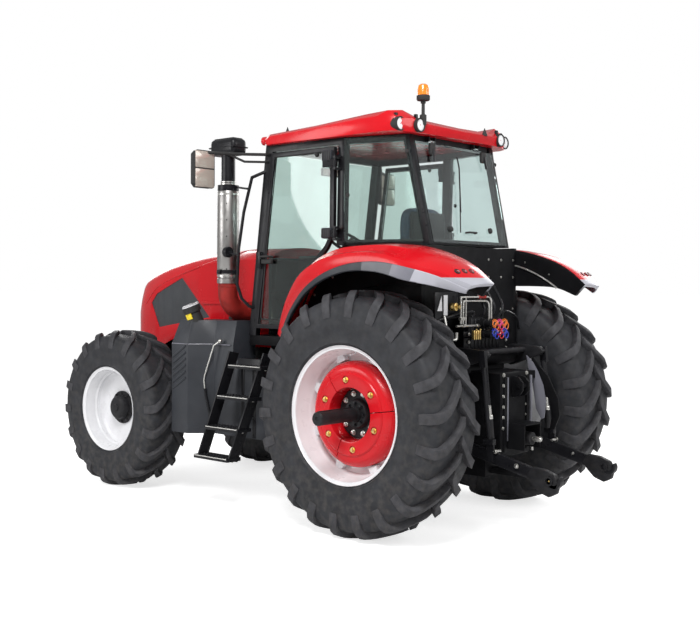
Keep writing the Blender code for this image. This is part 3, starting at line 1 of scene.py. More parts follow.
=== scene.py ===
"""Dress the farm tractor: finishes, wheels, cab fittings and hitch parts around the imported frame.

Lengths are in metres. The tractor faces -Y, its left side is +X. Makers below measure lengths along Y
from the rear axle, and settle() carries each finished piece to its place in the frame.
"""

import contextlib
import json
import math

import bpy
from mathutils import Matrix, Vector


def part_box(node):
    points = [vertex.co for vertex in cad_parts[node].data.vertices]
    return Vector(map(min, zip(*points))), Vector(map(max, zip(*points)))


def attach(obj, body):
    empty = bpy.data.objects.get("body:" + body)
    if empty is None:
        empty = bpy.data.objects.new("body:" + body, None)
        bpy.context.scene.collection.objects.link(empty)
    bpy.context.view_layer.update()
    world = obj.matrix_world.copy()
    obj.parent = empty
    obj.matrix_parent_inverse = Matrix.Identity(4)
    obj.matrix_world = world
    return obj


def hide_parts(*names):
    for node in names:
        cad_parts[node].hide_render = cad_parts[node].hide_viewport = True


bl_info = {
    "name": "Farm tractor dressing",
    "version": (1, 0, 0),
    "blender": (4, 5, 0),
    "location": "3D View > Sidebar > Tractor",
    "description": "Adds the finishes and the detailed pieces of a farm tractor",
    "category": "Object",
}

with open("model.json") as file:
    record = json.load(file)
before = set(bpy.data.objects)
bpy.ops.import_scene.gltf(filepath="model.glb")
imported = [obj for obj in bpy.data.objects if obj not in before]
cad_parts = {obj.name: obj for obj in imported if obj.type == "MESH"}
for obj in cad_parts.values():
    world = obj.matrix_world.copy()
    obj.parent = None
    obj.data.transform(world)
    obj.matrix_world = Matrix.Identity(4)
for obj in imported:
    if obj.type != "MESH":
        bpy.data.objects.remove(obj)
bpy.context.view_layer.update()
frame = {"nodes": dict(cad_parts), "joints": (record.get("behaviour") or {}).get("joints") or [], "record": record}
JOINTS = {joint["name"]: joint for joint in frame["joints"]}


def joint_place(name):
    return Vector(JOINTS[name]["pos_m"])


AXLE_Y = joint_place("spin_rear_left").y
REAR_AXLE = joint_place("spin_rear_left") - Vector((0, AXLE_Y, 0))
FRONT_AXLE = joint_place("spin_front_left") - Vector((0, AXLE_Y, 0))


BODY_OF = {node: body for body, nodes in frame["record"]["behaviour"]["bodies"].items() for node in nodes}
SLOT_OF = {row["node"]: row["material_slot"] for row in frame["record"]["subparts"]}


def bodies_of(node):
    """The bodies of a left and right pair of nodes."""
    return BODY_OF[node + "_left"], BODY_OF[node + "_right"]


def span(node):
    """The box of a CAD node, its lengths measured from the rear axle."""
    low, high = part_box(node)
    shift = Vector((0, AXLE_Y, 0))
    return low - shift, high - shift


# ---- finishes

FINISHES = {
    # colour, roughness, metallic, coat, specular, mottle (scale, share), grain (scale, strength), share of dust
    "red_enamel": ((0.57, 0.006, 0.012), 0.22, 0.0, 0.12, 0.28, (3, 0.05), (260, 0.03), 0.0),
    "white_enamel": ((0.78, 0.78, 0.8), 0.3, 0.0, 0.2, 0.5, (6, 0.04), (220, 0.05), 0.1),
    "black_enamel": ((0.01, 0.01, 0.012), 0.32, 0.0, 0.04, 0.22, (9, 0.2), (300, 0.06), 0.0),
    "black_casting": ((0.013, 0.013, 0.015), 0.48, 0.0, 0.0, 0.24, (14, 0.3), (120, 0.35), 0.08),
    "slate_plastic": ((0.032, 0.035, 0.042), 0.42, 0.0, 0.0, 0.32, (5, 0.12), (700, 0.25), 0.05),
    "black_plastic": ((0.012, 0.012, 0.014), 0.5, 0.0, 0.0, 0.25, (8, 0.15), (600, 0.3), 0.0),
    "tyre_rubber": ((0.027, 0.028, 0.032), 0.55, 0.0, 0.0, 0.25, (11, 0.25), (240, 0.25), 0.26),
    # tread bars: a lighter copy of the tyre rubber, with the light on their crests painted in
    "tread_rubber_painted_light": ((0.046, 0.046, 0.051), 0.6, 0.0, 0.0, 0.25, (16, 0.3), (240, 0.25), 0.2),
    "steel_shield": ((0.36, 0.35, 0.34), 0.36, 1.0, 0.0, 0.5, (14, 0.1), (400, 0.04), 0.0),
    "bright_zinc": ((0.66, 0.65, 0.62), 0.3, 1.0, 0.0, 0.5, (40, 0.1), (200, 0.06), 0.0),
    "gold_zinc": ((0.72, 0.52, 0.2), 0.32, 1.0, 0.0, 0.5, (40, 0.15), (200, 0.06), 0.0),
    "rust_red": ((0.27, 0.018, 0.014), 0.5, 0.0, 0.0, 0.25, (12, 0.3), (150, 0.2), 0.0),
    "seat_cloth": ((0.05, 0.075, 0.11), 0.9, 0.0, 0.0, 0.5, (30, 0.1), (900, 0.6), 0.0),
    "lamp_lens": ((0.88, 0.89, 0.9), 0.1, 0.0, 0.6, 0.5, (30, 0.04), (160, 0.2), 0.0),
    "red_lens": ((0.62, 0.01, 0.012), 0.12, 0.0, 0.6, 0.5, (30, 0.06), (160, 0.2), 0.0),
    "dark_lens": ((0.22, 0.006, 0.01), 0.12, 0.0, 0.6, 0.5, (30, 0.06), (160, 0.2), 0.0),
    "deep_black": ((0.0055, 0.0055, 0.0065), 0.5, 0.0, 0.0, 0.12, (10, 0.3), (150, 0.25), 0.0),
    "amber_lens": ((0.9, 0.24, 0.012), 0.12, 0.0, 0.6, 0.5, (30, 0.06), (140, 0.25), 0.0),
    "grey_moulding": ((0.17, 0.17, 0.2), 0.38, 0.0, 0.1, 0.5, (5, 0.08), (600, 0.12), 0.05),
    "dull_moulding": ((0.085, 0.087, 0.1), 0.4, 0.0, 0.1, 0.5, (5, 0.08), (600, 0.12), 0.05),
    "pale_moulding": ((0.42, 0.42, 0.47), 0.38, 0.0, 0.1, 0.5, (5, 0.08), (600, 0.12), 0.05),
    "orange_cap": ((0.85, 0.2, 0.02), 0.42, 0.0, 0.0, 0.5, (20, 0.08), (500, 0.1), 0.0),
    "blue_cap": ((0.03, 0.06, 0.5), 0.42, 0.0, 0.0, 0.5, (20, 0.08), (500, 0.1), 0.0),
    "pink_cap": ((0.7, 0.06, 0.22), 0.42, 0.0, 0.0, 0.5, (20, 0.08), (500, 0.1), 0.0),
    "yellow_label": ((0.86, 0.66, 0.02), 0.4, 0.0, 0.0, 0.5, (30, 0.05), (300, 0.04), 0.0),
    # mirror glass: a beige grey colour painted on as the reflection of the surroundings, not a true mirror
    "mirror_face": ((0.46, 0.4, 0.35), 0.16, 0.15, 0.5, 0.5, (8, 0.04), (90, 0.01), 0.0),
}


def fill(tree, node, inputs):
    """Set a node's inputs, and wire those whose value is another node's output."""
    for socket, value in inputs.items():
        if isinstance(value, bpy.types.NodeSocket):
            tree.links.new(value, node.inputs[socket])
        else:
            node.inputs[socket].default_value = value
    return node


def new_node(tree, kind, inputs, **settings):
    node = tree.nodes.new("ShaderNode" + kind)
    for name, value in settings.items():
        setattr(node, name, value)
    return fill(tree, node, inputs)


def blank_material(name):
    made = bpy.data.materials.new(name)
    made.use_nodes = True
    return made, made.node_tree, made.node_tree.nodes["Principled BSDF"]


DUST = (0.16, 0.14, 0.12, 1.0)
COAT_ROUGHNESS = 0.06
GRAIN_DEPTH = 0.0006


def shade_nodes(name, colour, rough, metallic, coat, specular, mottle, grain, dust):
    """A procedural finish: mottled colour, uneven gloss, fine grain and dust towards the ground."""
    made, tree, shader = blank_material(name)
    place = new_node(tree, "TexCoord", {}).outputs["Object"]

    def noise(scale, detail):
        return new_node(tree, "TexNoise", {"Scale": scale, "Detail": detail, "Vector": place}).outputs["Fac"]

    def stretched(value, low, high, start=0.3, stop=0.7):
        return new_node(tree, "MapRange", {"From Min": start, "From Max": stop, "To Min": low, "To Max": high,
                                           "Value": value}).outputs["Result"]

    def mixed(factor, one, two):
        # inputs 6 and 7 are the colours of a colour mix, output 2 is its result
        return new_node(tree, "Mix", {"Factor": factor, 6: one, 7: two}, data_type="RGBA").outputs[2]

    scale, share = mottle
    darker = (*[part * (1 - share) for part in colour], 1.0)
    lighter = (*[min(part * (1 + share), 1.0) for part in colour], 1.0)
    paint = mixed(stretched(noise(scale, 4.0), 0.0, 1.0), darker, lighter)
    if dust:
        ground = new_node(tree, "SeparateXYZ", {"Vector": place})
        height = stretched(ground.outputs["Z"], 1.0, 0.25, 0.1, 1.3)
        cloud = stretched(noise(scale * 1.7, 6.0), 0.0, dust, 0.42, 0.75)
        amount = new_node(tree, "Math", {0: height, 1: cloud}, operation="MULTIPLY")
        paint = mixed(amount.outputs["Value"], paint, DUST)
    gloss = stretched(noise(scale * 2.3, 3.0), max(rough - 0.06, 0.02), min(rough + 0.08, 1.0))
    bump = new_node(tree, "Bump", {"Distance": GRAIN_DEPTH, "Strength": min(grain[1] * 2, 1.0),
                                   "Height": noise(grain[0], 2.0)})
    fill(tree, shader, {"Base Color": paint, "Roughness": gloss, "Normal": bump.outputs["Normal"],
                        "Metallic": metallic, "Coat Weight": coat, "Specular IOR Level": specular,
                        "Coat Roughness": COAT_ROUGHNESS})
    return made


def glass_nodes(name, tint, rough=0.015):
    made, tree, shader = blank_material(name)
    place = new_node(tree, "TexCoord", {}).outputs["Object"]
    cloud = new_node(tree, "TexNoise", {"Scale": 2.2, "Vector": place}).outputs["Fac"]
    ramp = new_node(tree, "ValToRGB", {"Fac": cloud})
    for stop, position, share in zip(ramp.color_ramp.elements, (0.35, 0.7), (0.94, 1.0)):
        stop.position = position
        stop.color = (*[part * share for part in tint], 1.0)
    film = new_node(tree, "MapRange", {"To Min": rough, "To Max": rough + 0.03, "Value": cloud})
    fill(tree, shader, {"Base Color": ramp.outputs["Color"], "Roughness": film.outputs["Result"],
                        "Transmission Weight": 1.0, "IOR": 1.45})
    return made


def mesh_nodes(name):
    """Dark wire mesh: a fine woven pattern pressed into a slate sheet."""
    made = shade_nodes(name, (0.04, 0.044, 0.05), 0.45, 0.0, 0.0, 0.5, (6, 0.1), (300, 0.1), 0.0)
    tree = made.node_tree
    place = new_node(tree, "TexCoord", {}).outputs["Object"]
    weave = new_node(tree, "TexVoronoi", {}, feature="DISTANCE_TO_EDGE")
    fill(tree, weave, {"Scale": 95.0, "Randomness": 0.0, "Vector": place})
    bump = new_node(tree, "Bump", {"Distance": 0.004, "Height": weave.outputs["Distance"]})
    fill(tree, tree.nodes["Principled BSDF"], {"Normal": bump.outputs["Normal"]})
    return made


def finish_named(name):
    found = bpy.data.materials.get(name)
    if found is None:
        if name == "green_glass":
            found = glass_nodes(name, tuple(bpy.context.scene.tractor_paint.glass))
        elif name == "rear_glass":
            found = glass_nodes(name, (0.83, 0.9, 0.91))
        elif name == "wire_mesh":
            found = mesh_nodes(name)
        else:
            found = shade_nodes(name, *FINISHES[name])
    return found


# ---- modelling steps

def put_down():
    """Leave edit mode and drop the selection, because an operator acts on all that is selected."""
    if bpy.context.object and bpy.context.object.mode != "OBJECT":
        bpy.ops.object.mode_set(mode="OBJECT")
    bpy.ops.object.select_all(action="DESELECT")


def pick_up(part):
    put_down()
    part.select_set(True)
    bpy.context.view_layer.objects.active = part


@contextlib.contextmanager
def editing(part=None, select="SELECT"):
    """Edit mode on a part, or on the active one, with its vertices selected or dropped."""
    if part:
        pick_up(part)
    bpy.ops.object.mode_set(mode="EDIT")
    bpy.ops.mesh.select_mode(type="VERT")
    bpy.ops.mesh.select_all(action=select)
    yield
    bpy.ops.object.mode_set(mode="OBJECT")


@contextlib.contextmanager
def editing_chosen(part, chosen):
    """Edit mode on the active part with only those vertices selected for which chosen(vertex) is true."""
    with editing(part, "DESELECT"):
        pass
    for vert in part.data.vertices:
        vert.select = chosen(vert)
    bpy.ops.object.mode_set(mode="EDIT")
    yield
    bpy.ops.object.mode_set(mode="OBJECT")


WELD = 0.00005  # vertices nearer than this are one vertex
PIPE_WELD = 0.00002


def face_out(weld=0.0):
    """In edit mode: merge what meets, where a distance is given, and turn every face outwards."""
    bpy.ops.mesh.select_all(action="SELECT")
    if weld:
        bpy.ops.mesh.remove_doubles(threshold=weld)
    bpy.ops.mesh.normals_make_consistent(inside=False)


def unit(axis):
    return Vector([float(axis == name) for name in "XYZ"])


def place_applied():
    bpy.ops.object.transform_apply(location=True, rotation=True, scale=True)
    return bpy.context.object


def block(x, y, z, soften=0.0, segments=2):
    """A box between three pairs of bounds, its edges rounded."""
    put_down()
    middle = [(a + b) / 2 for a, b in (x, y, z)]
    size = [abs(b - a) for a, b in (x, y, z)]
    bpy.ops.mesh.primitive_cube_add(size=1, location=middle, scale=size)
    part = place_applied()
    if soften:
        rounded(part, soften, segments)
    return part


TURNS = {"X": (0, math.pi / 2, 0), "Y": (-math.pi / 2, 0, 0), "Z": (0, 0, 0)}


def sided(side, near, far):
    """The bounds near and far, on the side with this sign."""
    return sorted((side * near, side * far))


def drum(axis, start, radius, length, sides=32, soften=0.0):
    """A cylinder that starts at a point and runs along an axis."""
    put_down()
    along = unit(axis)
    bpy.ops.mesh.primitive_cylinder_add(vertices=sides, radius=radius, depth=abs(length),
                                        location=Vector(start) + along * length / 2, rotation=TURNS[axis])
    part = place_applied()
    if soften:
        rounded(part, soften)
    return part


def ball(centre, radius, squash=(1, 1, 1)):
    put_down()
    bpy.ops.mesh.primitive_uv_sphere_add(segments=20, ring_count=12, radius=radius, location=centre,
                                         scale=squash)
    return place_applied()


def hoop(axis, centre, radius, thick, sides=40, minor=10):
    put_down()
    bpy.ops.mesh.primitive_torus_add(major_radius=radius, minor_radius=thick, major_segments=sides,
                                     minor_segments=minor, location=centre, rotation=TURNS[axis])
    return place_applied()


def wire(points, closed=False):
    """A run of edges drawn point by point."""
    put_down()
    points = [Vector(point) for point in points]
    bpy.ops.mesh.primitive_plane_add(size=0.01, location=points[0])
    place_applied()
    with editing():
        bpy.ops.mesh.merge(type="CENTER")
        for before, after in zip(points, points[1:]):
            bpy.ops.mesh.extrude_region_move(TRANSFORM_OT_translate={"value": after - before})
        if closed:
            bpy.ops.mesh.select_all(action="SELECT")
            bpy.ops.mesh.edge_face_add()
    return bpy.context.object


def flat(points, push, soften=0.0):
    """A flat outline pushed into a solid."""
    part = wire(points, closed=True)
    with editing():
        bpy.ops.mesh.extrude_region_move(TRANSFORM_OT_translate={"value": Vector(push)})
        face_out()
    if soften:
        rounded(part, soften)
    return part


def turned(profile, axis, centre, steps=48):
    """Spin (along, radius) points about an axis through the centre; a profile that ends off the axis is closed."""
    along = unit(axis)
    out = {"X": Vector((0, 0, 1)), "Y": Vector((0, 0, 1)), "Z": Vector((1, 0, 0))}[axis]
    centre = Vector(centre)
    points = [centre + along * a + out * r for a, r in profile]
    if profile[-1][1]:
        points.append(points[0])
    part = wire(points)
    with editing():
        bpy.ops.mesh.spin(steps=steps, angle=2 * math.pi, center=centre, axis=along)
        face_out(WELD)
    return part


def pipe(points, radius, bend=0.0, sides=10):
    """A round bar or pipe along points, its corners rounded by the bend."""
    part = wire(points)
    if bend:
        last = len(part.data.vertices) - 1
        with editing_chosen(part, lambda vert: 0 < vert.index < last):
            bpy.ops.mesh.bevel(offset=bend, segments=5, affect="VERTICES")
    bpy.ops.object.convert(target="CURVE")
    curve = bpy.context.object.data
    curve.bevel_depth = radius
    curve.bevel_resolution = max((sides - 4) // 2, 1)
    curve.use_fill_caps = True
    bpy.ops.object.convert(target="MESH")
    with editing():
        face_out(PIPE_WELD)
    return bpy.context.object


def applied(part, kind, **settings):
    """Add a modifier, set it and apply it."""
    pick_up(part)
    modifier = part.modifiers.new(kind.lower(), kind)
    for name, value in settings.items():
        setattr(modifier, name, value)
    bpy.ops.object.modifier_apply(modifier=modifier.name)
    return part


def rounded(part, width, segments=2, angle=35):
    return applied(part, "BEVEL", width=width, segments=segments, limit_method="ANGLE",
                   angle_limit=math.radians(angle), use_clamp_overlap=True)


def cut(part, cutter):
    applied(part, "BOOLEAN", operation="DIFFERENCE", object=cutter, solver="EXACT")
    bpy.data.objects.remove(cutter)
    return part


def copied(part, matrix=None):
    """A second part with its own mesh, moved by the matrix."""
    other = part.copy()
    other.data = part.data.copy()
    bpy.context.scene.collection.objects.link(other)
    if matrix is not None:
        other.data.transform(matrix)
        if matrix.determinant() < 0:
            other.data.flip_normals()
    return other


def turn_about(axis, centre, angle):
    centre = Vector(centre)
    return Matrix.Translation(centre) @ Matrix.Rotation(math.radians(angle), 4, axis) @ Matrix.Translation(-centre)


MIRROR = Matrix.Scale(-1, 4, (1, 0, 0))


def around(part, axis, centre, count, start=0.0):
    """The part and its copies, evenly spaced about an axis."""
    copies = [copied(part, turn_about(axis, centre, start + 360 * i / count)) for i in range(count)]
    bpy.data.objects.remove(part)
    return copies


def painted(part, finish):
    part.data.materials.clear()
    part.data.materials.append(finish_named(finish))
    return part


def batch():
    """A list of painted parts, and the function that paints a part, or each of a list, and adds it."""
    made = []

    def add(parts, finish):
        made.extend(painted(part, finish) for part in (parts if isinstance(parts, list) else [parts]))
    return made, add


def joined(parts):
    put_down()
    for part in parts:
        part.select_set(True)
    bpy.context.view_layer.objects.active = parts[0]
    if len(parts) > 1:
        bpy.ops.object.join()
    return bpy.context.object


def settle(parts, name, body, finish=None, angle=35, stands_for=()):
    """Join parts, smooth them, carry them to the frame and let them ride on a CAD body."""
    if finish:
        for part in parts:
            painted(part, finish)
    whole = joined(list(parts))
    whole.name = name
    whole.data.name = name
    whole.data.transform(Matrix.Translation((0, AXLE_Y, 0)))
    bpy.ops.object.shade_smooth_by_angle(angle=math.radians(angle))
    if stands_for:
        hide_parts(*stands_for)
    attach(whole, body)
    put_down()
    return whole


CHASSIS = ("chassis", "chassis")
REAR_WHEELS = bodies_of("rim_rear")
FRONT_WHEELS = bodies_of("rim_front")


def settle_pair(parts, name, bodies, node=None, finish=None, angle=35):
    """Settle the left piece and its mirror image on the right, in place of a pair of nodes where one is named."""
    whole = joined([painted(part, finish) if finish else part for part in parts])
    other = copied(whole, MIRROR)
    for piece, side, body in ((whole, "_left", bodies[0]), (other, "_right", bodies[1])):
        settle([piece], name + side, body, angle=angle, stands_for=(node + side,) if node else ())


def bolt(axis, place, radius, height, sign=1):
    """A hexagon head with a round washer under it, facing along the axis."""
    place = Vector(place)
    along = unit(axis) * sign
    washer = drum(axis, place, radius * 1.35, height * 0.25 * sign, 20)
    head = drum(axis, place + along * height * 0.2, radius, height * 0.8 * sign, 6, radius * 0.08)
    return [washer, head]


# ---- settings that a user would change

class TractorPaint(bpy.types.PropertyGroup):
    glass: bpy.props.FloatVectorProperty(
        name="Glass tint", description="Tint of the door, front and quarter glass", subtype="COLOR", size=3,
        min=0.0, max=1.0, default=(0.67, 0.78, 0.75))
    floor: bpy.props.FloatProperty(
        name="Floor brightness", description="Share of light that the pale floor sends back", min=0.0, max=1.0,
        default=0.85, subtype="FACTOR")


class TractorWheels(bpy.types.PropertyGroup):
    rear_lugs: bpy.props.IntProperty(
        name="Rear lugs on a side", description="Tread bars on each half of a rear tyre", min=12, max=26, default=22)
    front_lugs: bpy.props.IntProperty(
        name="Front lugs on a side", description="Tread bars on each half of a front tyre", min=12, max=24, default=18)
    rear_lug: bpy.props.FloatProperty(
        name="Rear lug height", description="Height of the rear tread bars", unit="LENGTH", default=0.046)
    front_lug: bpy.props.FloatProperty(
        name="Front lug height", description="Height of the front tread bars", unit="LENGTH", default=0.038)
    bolt_count: bpy.props.IntProperty(
        name="Hub bolts", description="Bolts round each rear hub", min=6, max=16, default=10)


# ---- wheels

REAR_FLANGE, REAR_RIM_HALF = 0.508, 0.2285  # radius of the rim's flange, half the width between the flanges
FRONT_FLANGE, FRONT_RIM_HALF = 0.381, 0.19
BAR_SHARE = 0.8  # share of a bar's pitch that its foot fills
BAR_SWEEP = -0.82  # pitches that a bar sweeps back on its way to the shoulder


def tyre_casing(centre, radius, half, flange, rim_half, lug):
    low = radius - lug
    side = [
        (rim_half - 0.01, flange - 0.02), (rim_half - 0.002, flange - 0.004),
        (rim_half + 0.01, flange + 0.009), (rim_half + 0.022, flange + 0.02),
        (rim_half + 0.016, flange + 0.034), (rim_half + (half - rim_half) * 0.7, flange + (radius - flange) * 0.22),
        (half * 0.985, radius * 0.715), (half * 0.995, radius * 0.735), (half * 0.985, radius * 0.757),
        (half * 0.982, radius * 0.8), (half * 0.955, radius * 0.85), (half * 0.905, low * 0.955),
        (half * 0.82, low * 0.982), (half * 0.6, low * 0.994), (half * 0.3, low),
    ]
    profile = side + [(-a, r) for a, r in reversed(side)]
    return turned(profile, "X", centre, 72)


def tread_bar(radius, half, lug, count):
    """One bar from the middle of the tread over the shoulder, drawn out ring by ring about the origin,
    then swept about the axle: steep at the middle of the tread, flatter towards the shoulder."""
    crest = radius
    foot = radius - lug - 0.014
    middle = (crest + foot) / 2
    put_down()
    bpy.ops.mesh.primitive_plane_add(size=1, location=(-half * 0.05, 0, middle), rotation=(0, math.pi / 2, 0))
    bpy.context.object.scale = (crest - foot, radius * math.pi / count * BAR_SHARE, 1)
    part = place_applied()
    for vert in part.data.vertices:
        vert.select = vert.co.z > middle
    bpy.ops.object.mode_set(mode="EDIT")
    bpy.ops.mesh.select_mode(type="VERT")
    bpy.ops.transform.resize(value=(1, 0.62, 1), center_override=(0, 0, crest))
    bpy.ops.mesh.select_all(action="SELECT")
    # share of the half width to move, share of the radius of crest and foot, width change
    steps = [(0.12, 1.0, 0.0, 1.0), (0.12, 1.0, 0.0, 1.0), (0.12, 0.999, 0.001, 1.0), (0.13, 0.998, 0.002, 1.01),
             (0.13, 0.996, 0.005, 1.02), (0.13, 0.99, 0.012, 1.02), (0.12, 0.978, 0.04, 1.03),
             (0.09, 0.95, 0.09, 1.04), (0.07, 0.89, 0.125, 1.04), (0.018, 0.838, 0.15, 0.94)]
    start = foot / radius
    for move, crest_share, foot_drop, wide in steps:
        bpy.ops.mesh.extrude_region_move(TRANSFORM_OT_translate={"value": (move * half, 0, 0)})
        high = crest_share * radius
        low = (start - foot_drop) * radius
        bpy.ops.transform.resize(value=(1, wide, (high - low) / (crest - foot)), center_override=(0, 0, foot))
        bpy.ops.transform.translate(value=(0, 0, low - foot))
        crest, foot = high, low
    face_out()
    bpy.ops.object.mode_set(mode="OBJECT")
    sweep = math.radians(BAR_SWEEP * 360 / count)
    for vert in part.data.vertices:
        share = min(max(vert.co.x / half, -0.1), 1.0)
        vert.co = Matrix.Rotation(sweep * (1 - (1 - share) ** 1.6), 3, "X") @ vert.co
    return rounded(part, 0.005, 2, 30)


def tyre(centre, radius, half, flange, rim_half, lug, count):
    centre = Vector(centre)
    parts = [painted(tyre_casing(centre, radius, half, flange, rim_half, lug), "tyre_rubber")]
    # the bars are painted lighter than the casing: painted light on their crests
    outer = painted(tread_bar(radius, half, lug, count), "tread_rubber_painted_light")
    inner = copied(outer, MIRROR)
    for part, start in ((outer, 180 / count), (inner, 0.0)):
        part.data.transform(Matrix.Translation(centre))
        parts += around(part, "X", centre, count, start)
    return parts


class TRACTOR_OT_tyres(bpy.types.Operator):
    """Make the four lugged tyres"""
    bl_idname = "tractor.tyres"
    bl_label = "Tyres"

    def execute(self, context):
        wheels = context.scene.tractor_wheels
        rear = tyre(REAR_AXLE, 0.9068, 0.2635, REAR_FLANGE, REAR_RIM_HALF, wheels.rear_lug, wheels.rear_lugs)
        settle_pair(rear, "tread_rear", REAR_WHEELS, "tyre_rear", angle=40)
        front = tyre(FRONT_AXLE, 0.7108, 0.215, FRONT_FLANGE, FRONT_RIM_HALF, wheels.front_lug, wheels.front_lugs)
        settle_pair(front, "tread_front", FRONT_WHEELS, "tyre_front", angle=40)
        return {"FINISHED"}


def on_wheel(out, above, hub=REAR_AXLE):
    """A place so far outside and above the middle of a wheel."""
    return hub + Vector((out, 0, above))


def rim_shell(centre, flange, half, disc, well, hub):
    """Rolled rim with its welded disc: (along, radius) from the hub out to the inner flange."""
    lining = flange - 0.039
    profile = [
        (disc, hub), (disc, well - 0.04), (disc + 0.006, well - 0.022), (disc + 0.022, well - 0.004),
        (disc + 0.05, well), (half * 0.42, lining - 0.016), (half * 0.5, lining - 0.004),
        (half * 0.8, lining + 0.004), (half * 0.86, lining + 0.01), (half * 0.97, lining + 0.013),
        (half + 0.002, flange - 0.012), (half + 0.006, flange - 0.004), (half + 0.012, flange),
        (half + 0.008, flange + 0.001), (half, flange - 0.004), (half - 0.002, flange - 0.024),
        (-half + 0.002, flange - 0.024), (-half, flange - 0.004), (-half - 0.012, flange),
        (-half - 0.01, flange - 0.01), (-half + 0.006, lining), (disc - 0.06, lining - 0.01),
        (disc - 0.016, well - 0.02), (disc - 0.014, hub),
    ]
    return turned(profile, "X", centre, 72)


class TRACTOR_OT_rims(bpy.types.Operator):
    """Make the white rims with their rim lugs and valves"""
    bl_idname = "tractor.rims"
    bl_label = "Rims"

    def execute(self, context):
        parts = [rim_shell(REAR_AXLE, REAR_FLANGE, REAR_RIM_HALF, 0.03, 0.445, 0.15)]
        foot = on_wheel(0.034, 0.4)
        corners = ((-0.045, 0), (0.045, 0), (0.03, 0.052), (-0.03, 0.052))
        clamp = flat([foot + Vector((0.0, y, z)) for y, z in corners], (0.05, 0, 0), 0.006)
        parts += around(clamp, "X", REAR_AXLE, 8, 22)
        stem = on_wheel(0.09, 0.452)
        parts.append(pipe([stem, stem + Vector((0.03, 0, -0.012)), stem + Vector((0.062, 0, -0.02))], 0.005))
        settle_pair(parts, "dish_rear", REAR_WHEELS, "rim_rear", "white_enamel", 30)
        parts = [rim_shell(FRONT_AXLE, FRONT_FLANGE, FRONT_RIM_HALF, 0.02, 0.335, 0.09)]
        settle_pair(parts, "dish_front", FRONT_WHEELS, "rim_front", "white_enamel", 30)
        return {"FINISHED"}


class TRACTOR_OT_hubs(bpy.types.Operator):
    """Make the black hubs with their bolts and the rear axle bars"""
    bl_idname = "tractor.hubs"
    bl_label = "Hubs"

    def execute(self, context):
        count = context.scene.tractor_wheels.bolt_count
        profile = [(-0.1, 0), (-0.1, 0.14), (0.012, 0.15), (0.03, 0.152), (0.032, 0.186), (0.052, 0.186),
                   (0.058, 0.18), (0.058, 0.112), (0.092, 0.104), (0.098, 0.098), (0.098, 0.062),
                   (0.12, 0.056), (0.12, 0.05), (0.5, 0.05), (0.508, 0.044), (0.508, 0.018), (0.5, 0.014),
                   (0.5, 0)]
        made, add = batch()
        add(turned(profile, "X", REAR_AXLE, 40), "black_casting")
        add(block((1.1, 1.46), (-0.007, 0.007), (0.945, 0.961)), "black_casting")
        for part in bolt("X", on_wheel(0.057, 0.15), 0.015, 0.022):
            add(around(part, "X", REAR_AXLE, count, 18), "bright_zinc")
        for part in bolt("X", on_wheel(0.097, 0.08), 0.012, 0.018):
            add(around(part, "X", REAR_AXLE, 8), "black_enamel")
        settle_pair(made, "hub_rear", REAR_WHEELS)
        profile = [(-0.07, 0), (-0.07, 0.118), (0.004, 0.118), (0.02, 0.12), (0.024, 0.15), (0.036, 0.15),
                   (0.04, 0.146), (0.04, 0.112), (0.088, 0.104), (0.1, 0.092), (0.104, 0.08),
                   (0.104, 0.034), (0.112, 0.03), (0.112, 0)]
        made, add = batch()
        add(turned(profile, "X", FRONT_AXLE, 40), "black_casting")
        for part in bolt("X", on_wheel(0.039, 0.131, FRONT_AXLE), 0.01, 0.012):
            add(around(part, "X", FRONT_AXLE, 10), "black_casting")
        settle_pair(made, "hub_front", FRONT_WHEELS)
        return {"FINISHED"}


class TRACTOR_OT_wheel_weights(bpy.types.Operator):
    """Make the three-part red cast weights in the rear rims"""
    bl_idname = "tractor.wheel_weights"
    bl_label = "Wheel weights"

    def execute(self, context):
        profile = [(0.0305, 0.194), (0.15, 0.194), (0.163, 0.2), (0.166, 0.21), (0.166, 0.296),
                   (0.161, 0.304), (0.154, 0.308), (0.154, 0.336), (0.148, 0.35), (0.126, 0.376),
                   (0.11, 0.386), (0.092, 0.39), (0.0305, 0.39)]
        ring = turned(profile, "X", REAR_AXLE, 90)
        for angle in (38, 158, 278):
            slot = block((REAR_AXLE.x, REAR_AXLE.x + 0.3), (-0.003, 0.003), (REAR_AXLE.z + 0.15, REAR_AXLE.z + 0.45))
            slot.data.transform(turn_about("X", REAR_AXLE, angle))
            cut(ring, slot)
        for angle in (8, 68, 128, 188, 248, 308):
            well = drum("X", on_wheel(0.158, 0.255), 0.03, 0.05, 24)
            well.data.transform(turn_about("X", REAR_AXLE, angle))
            cut(ring, well)
        made, add = batch()
        add(rounded(ring, 0.002, 2, 40), "red_enamel")
        for part in bolt("X", on_wheel(0.158, 0.255), 0.016, 0.022):
            add(around(part, "X", REAR_AXLE, 6, 8), "gold_zinc")
        settle_pair(made, "cast_weight", REAR_WHEELS, "wheel_weight_rear", angle=30)
        return {"FINISHED"}


# ---- finishes on the frame's own nodes

SLOT_FINISHES = {
    "red_paint": "red_enamel", "white_paint": "white_enamel", "black_paint": "black_enamel",
    "cast_black": "black_casting", "grey_plastic": "slate_plastic", "black_plastic": "black_plastic",
    "tyre": "tyre_rubber", "glass": "green_glass", "steel": "steel_shield", "seat_fabric": "seat_cloth",
    "mirror_black": "black_plastic",
}
NODE_FINISHES = {"hood_grille": "wire_mesh", "rear_window": "rear_glass", "cab_base": "deep_black",
                 "gearbox": "deep_black", "engine": "deep_black"}


def node_finish(node):
    return NODE_FINISHES.get(node, SLOT_FINISHES[SLOT_OF[node]])


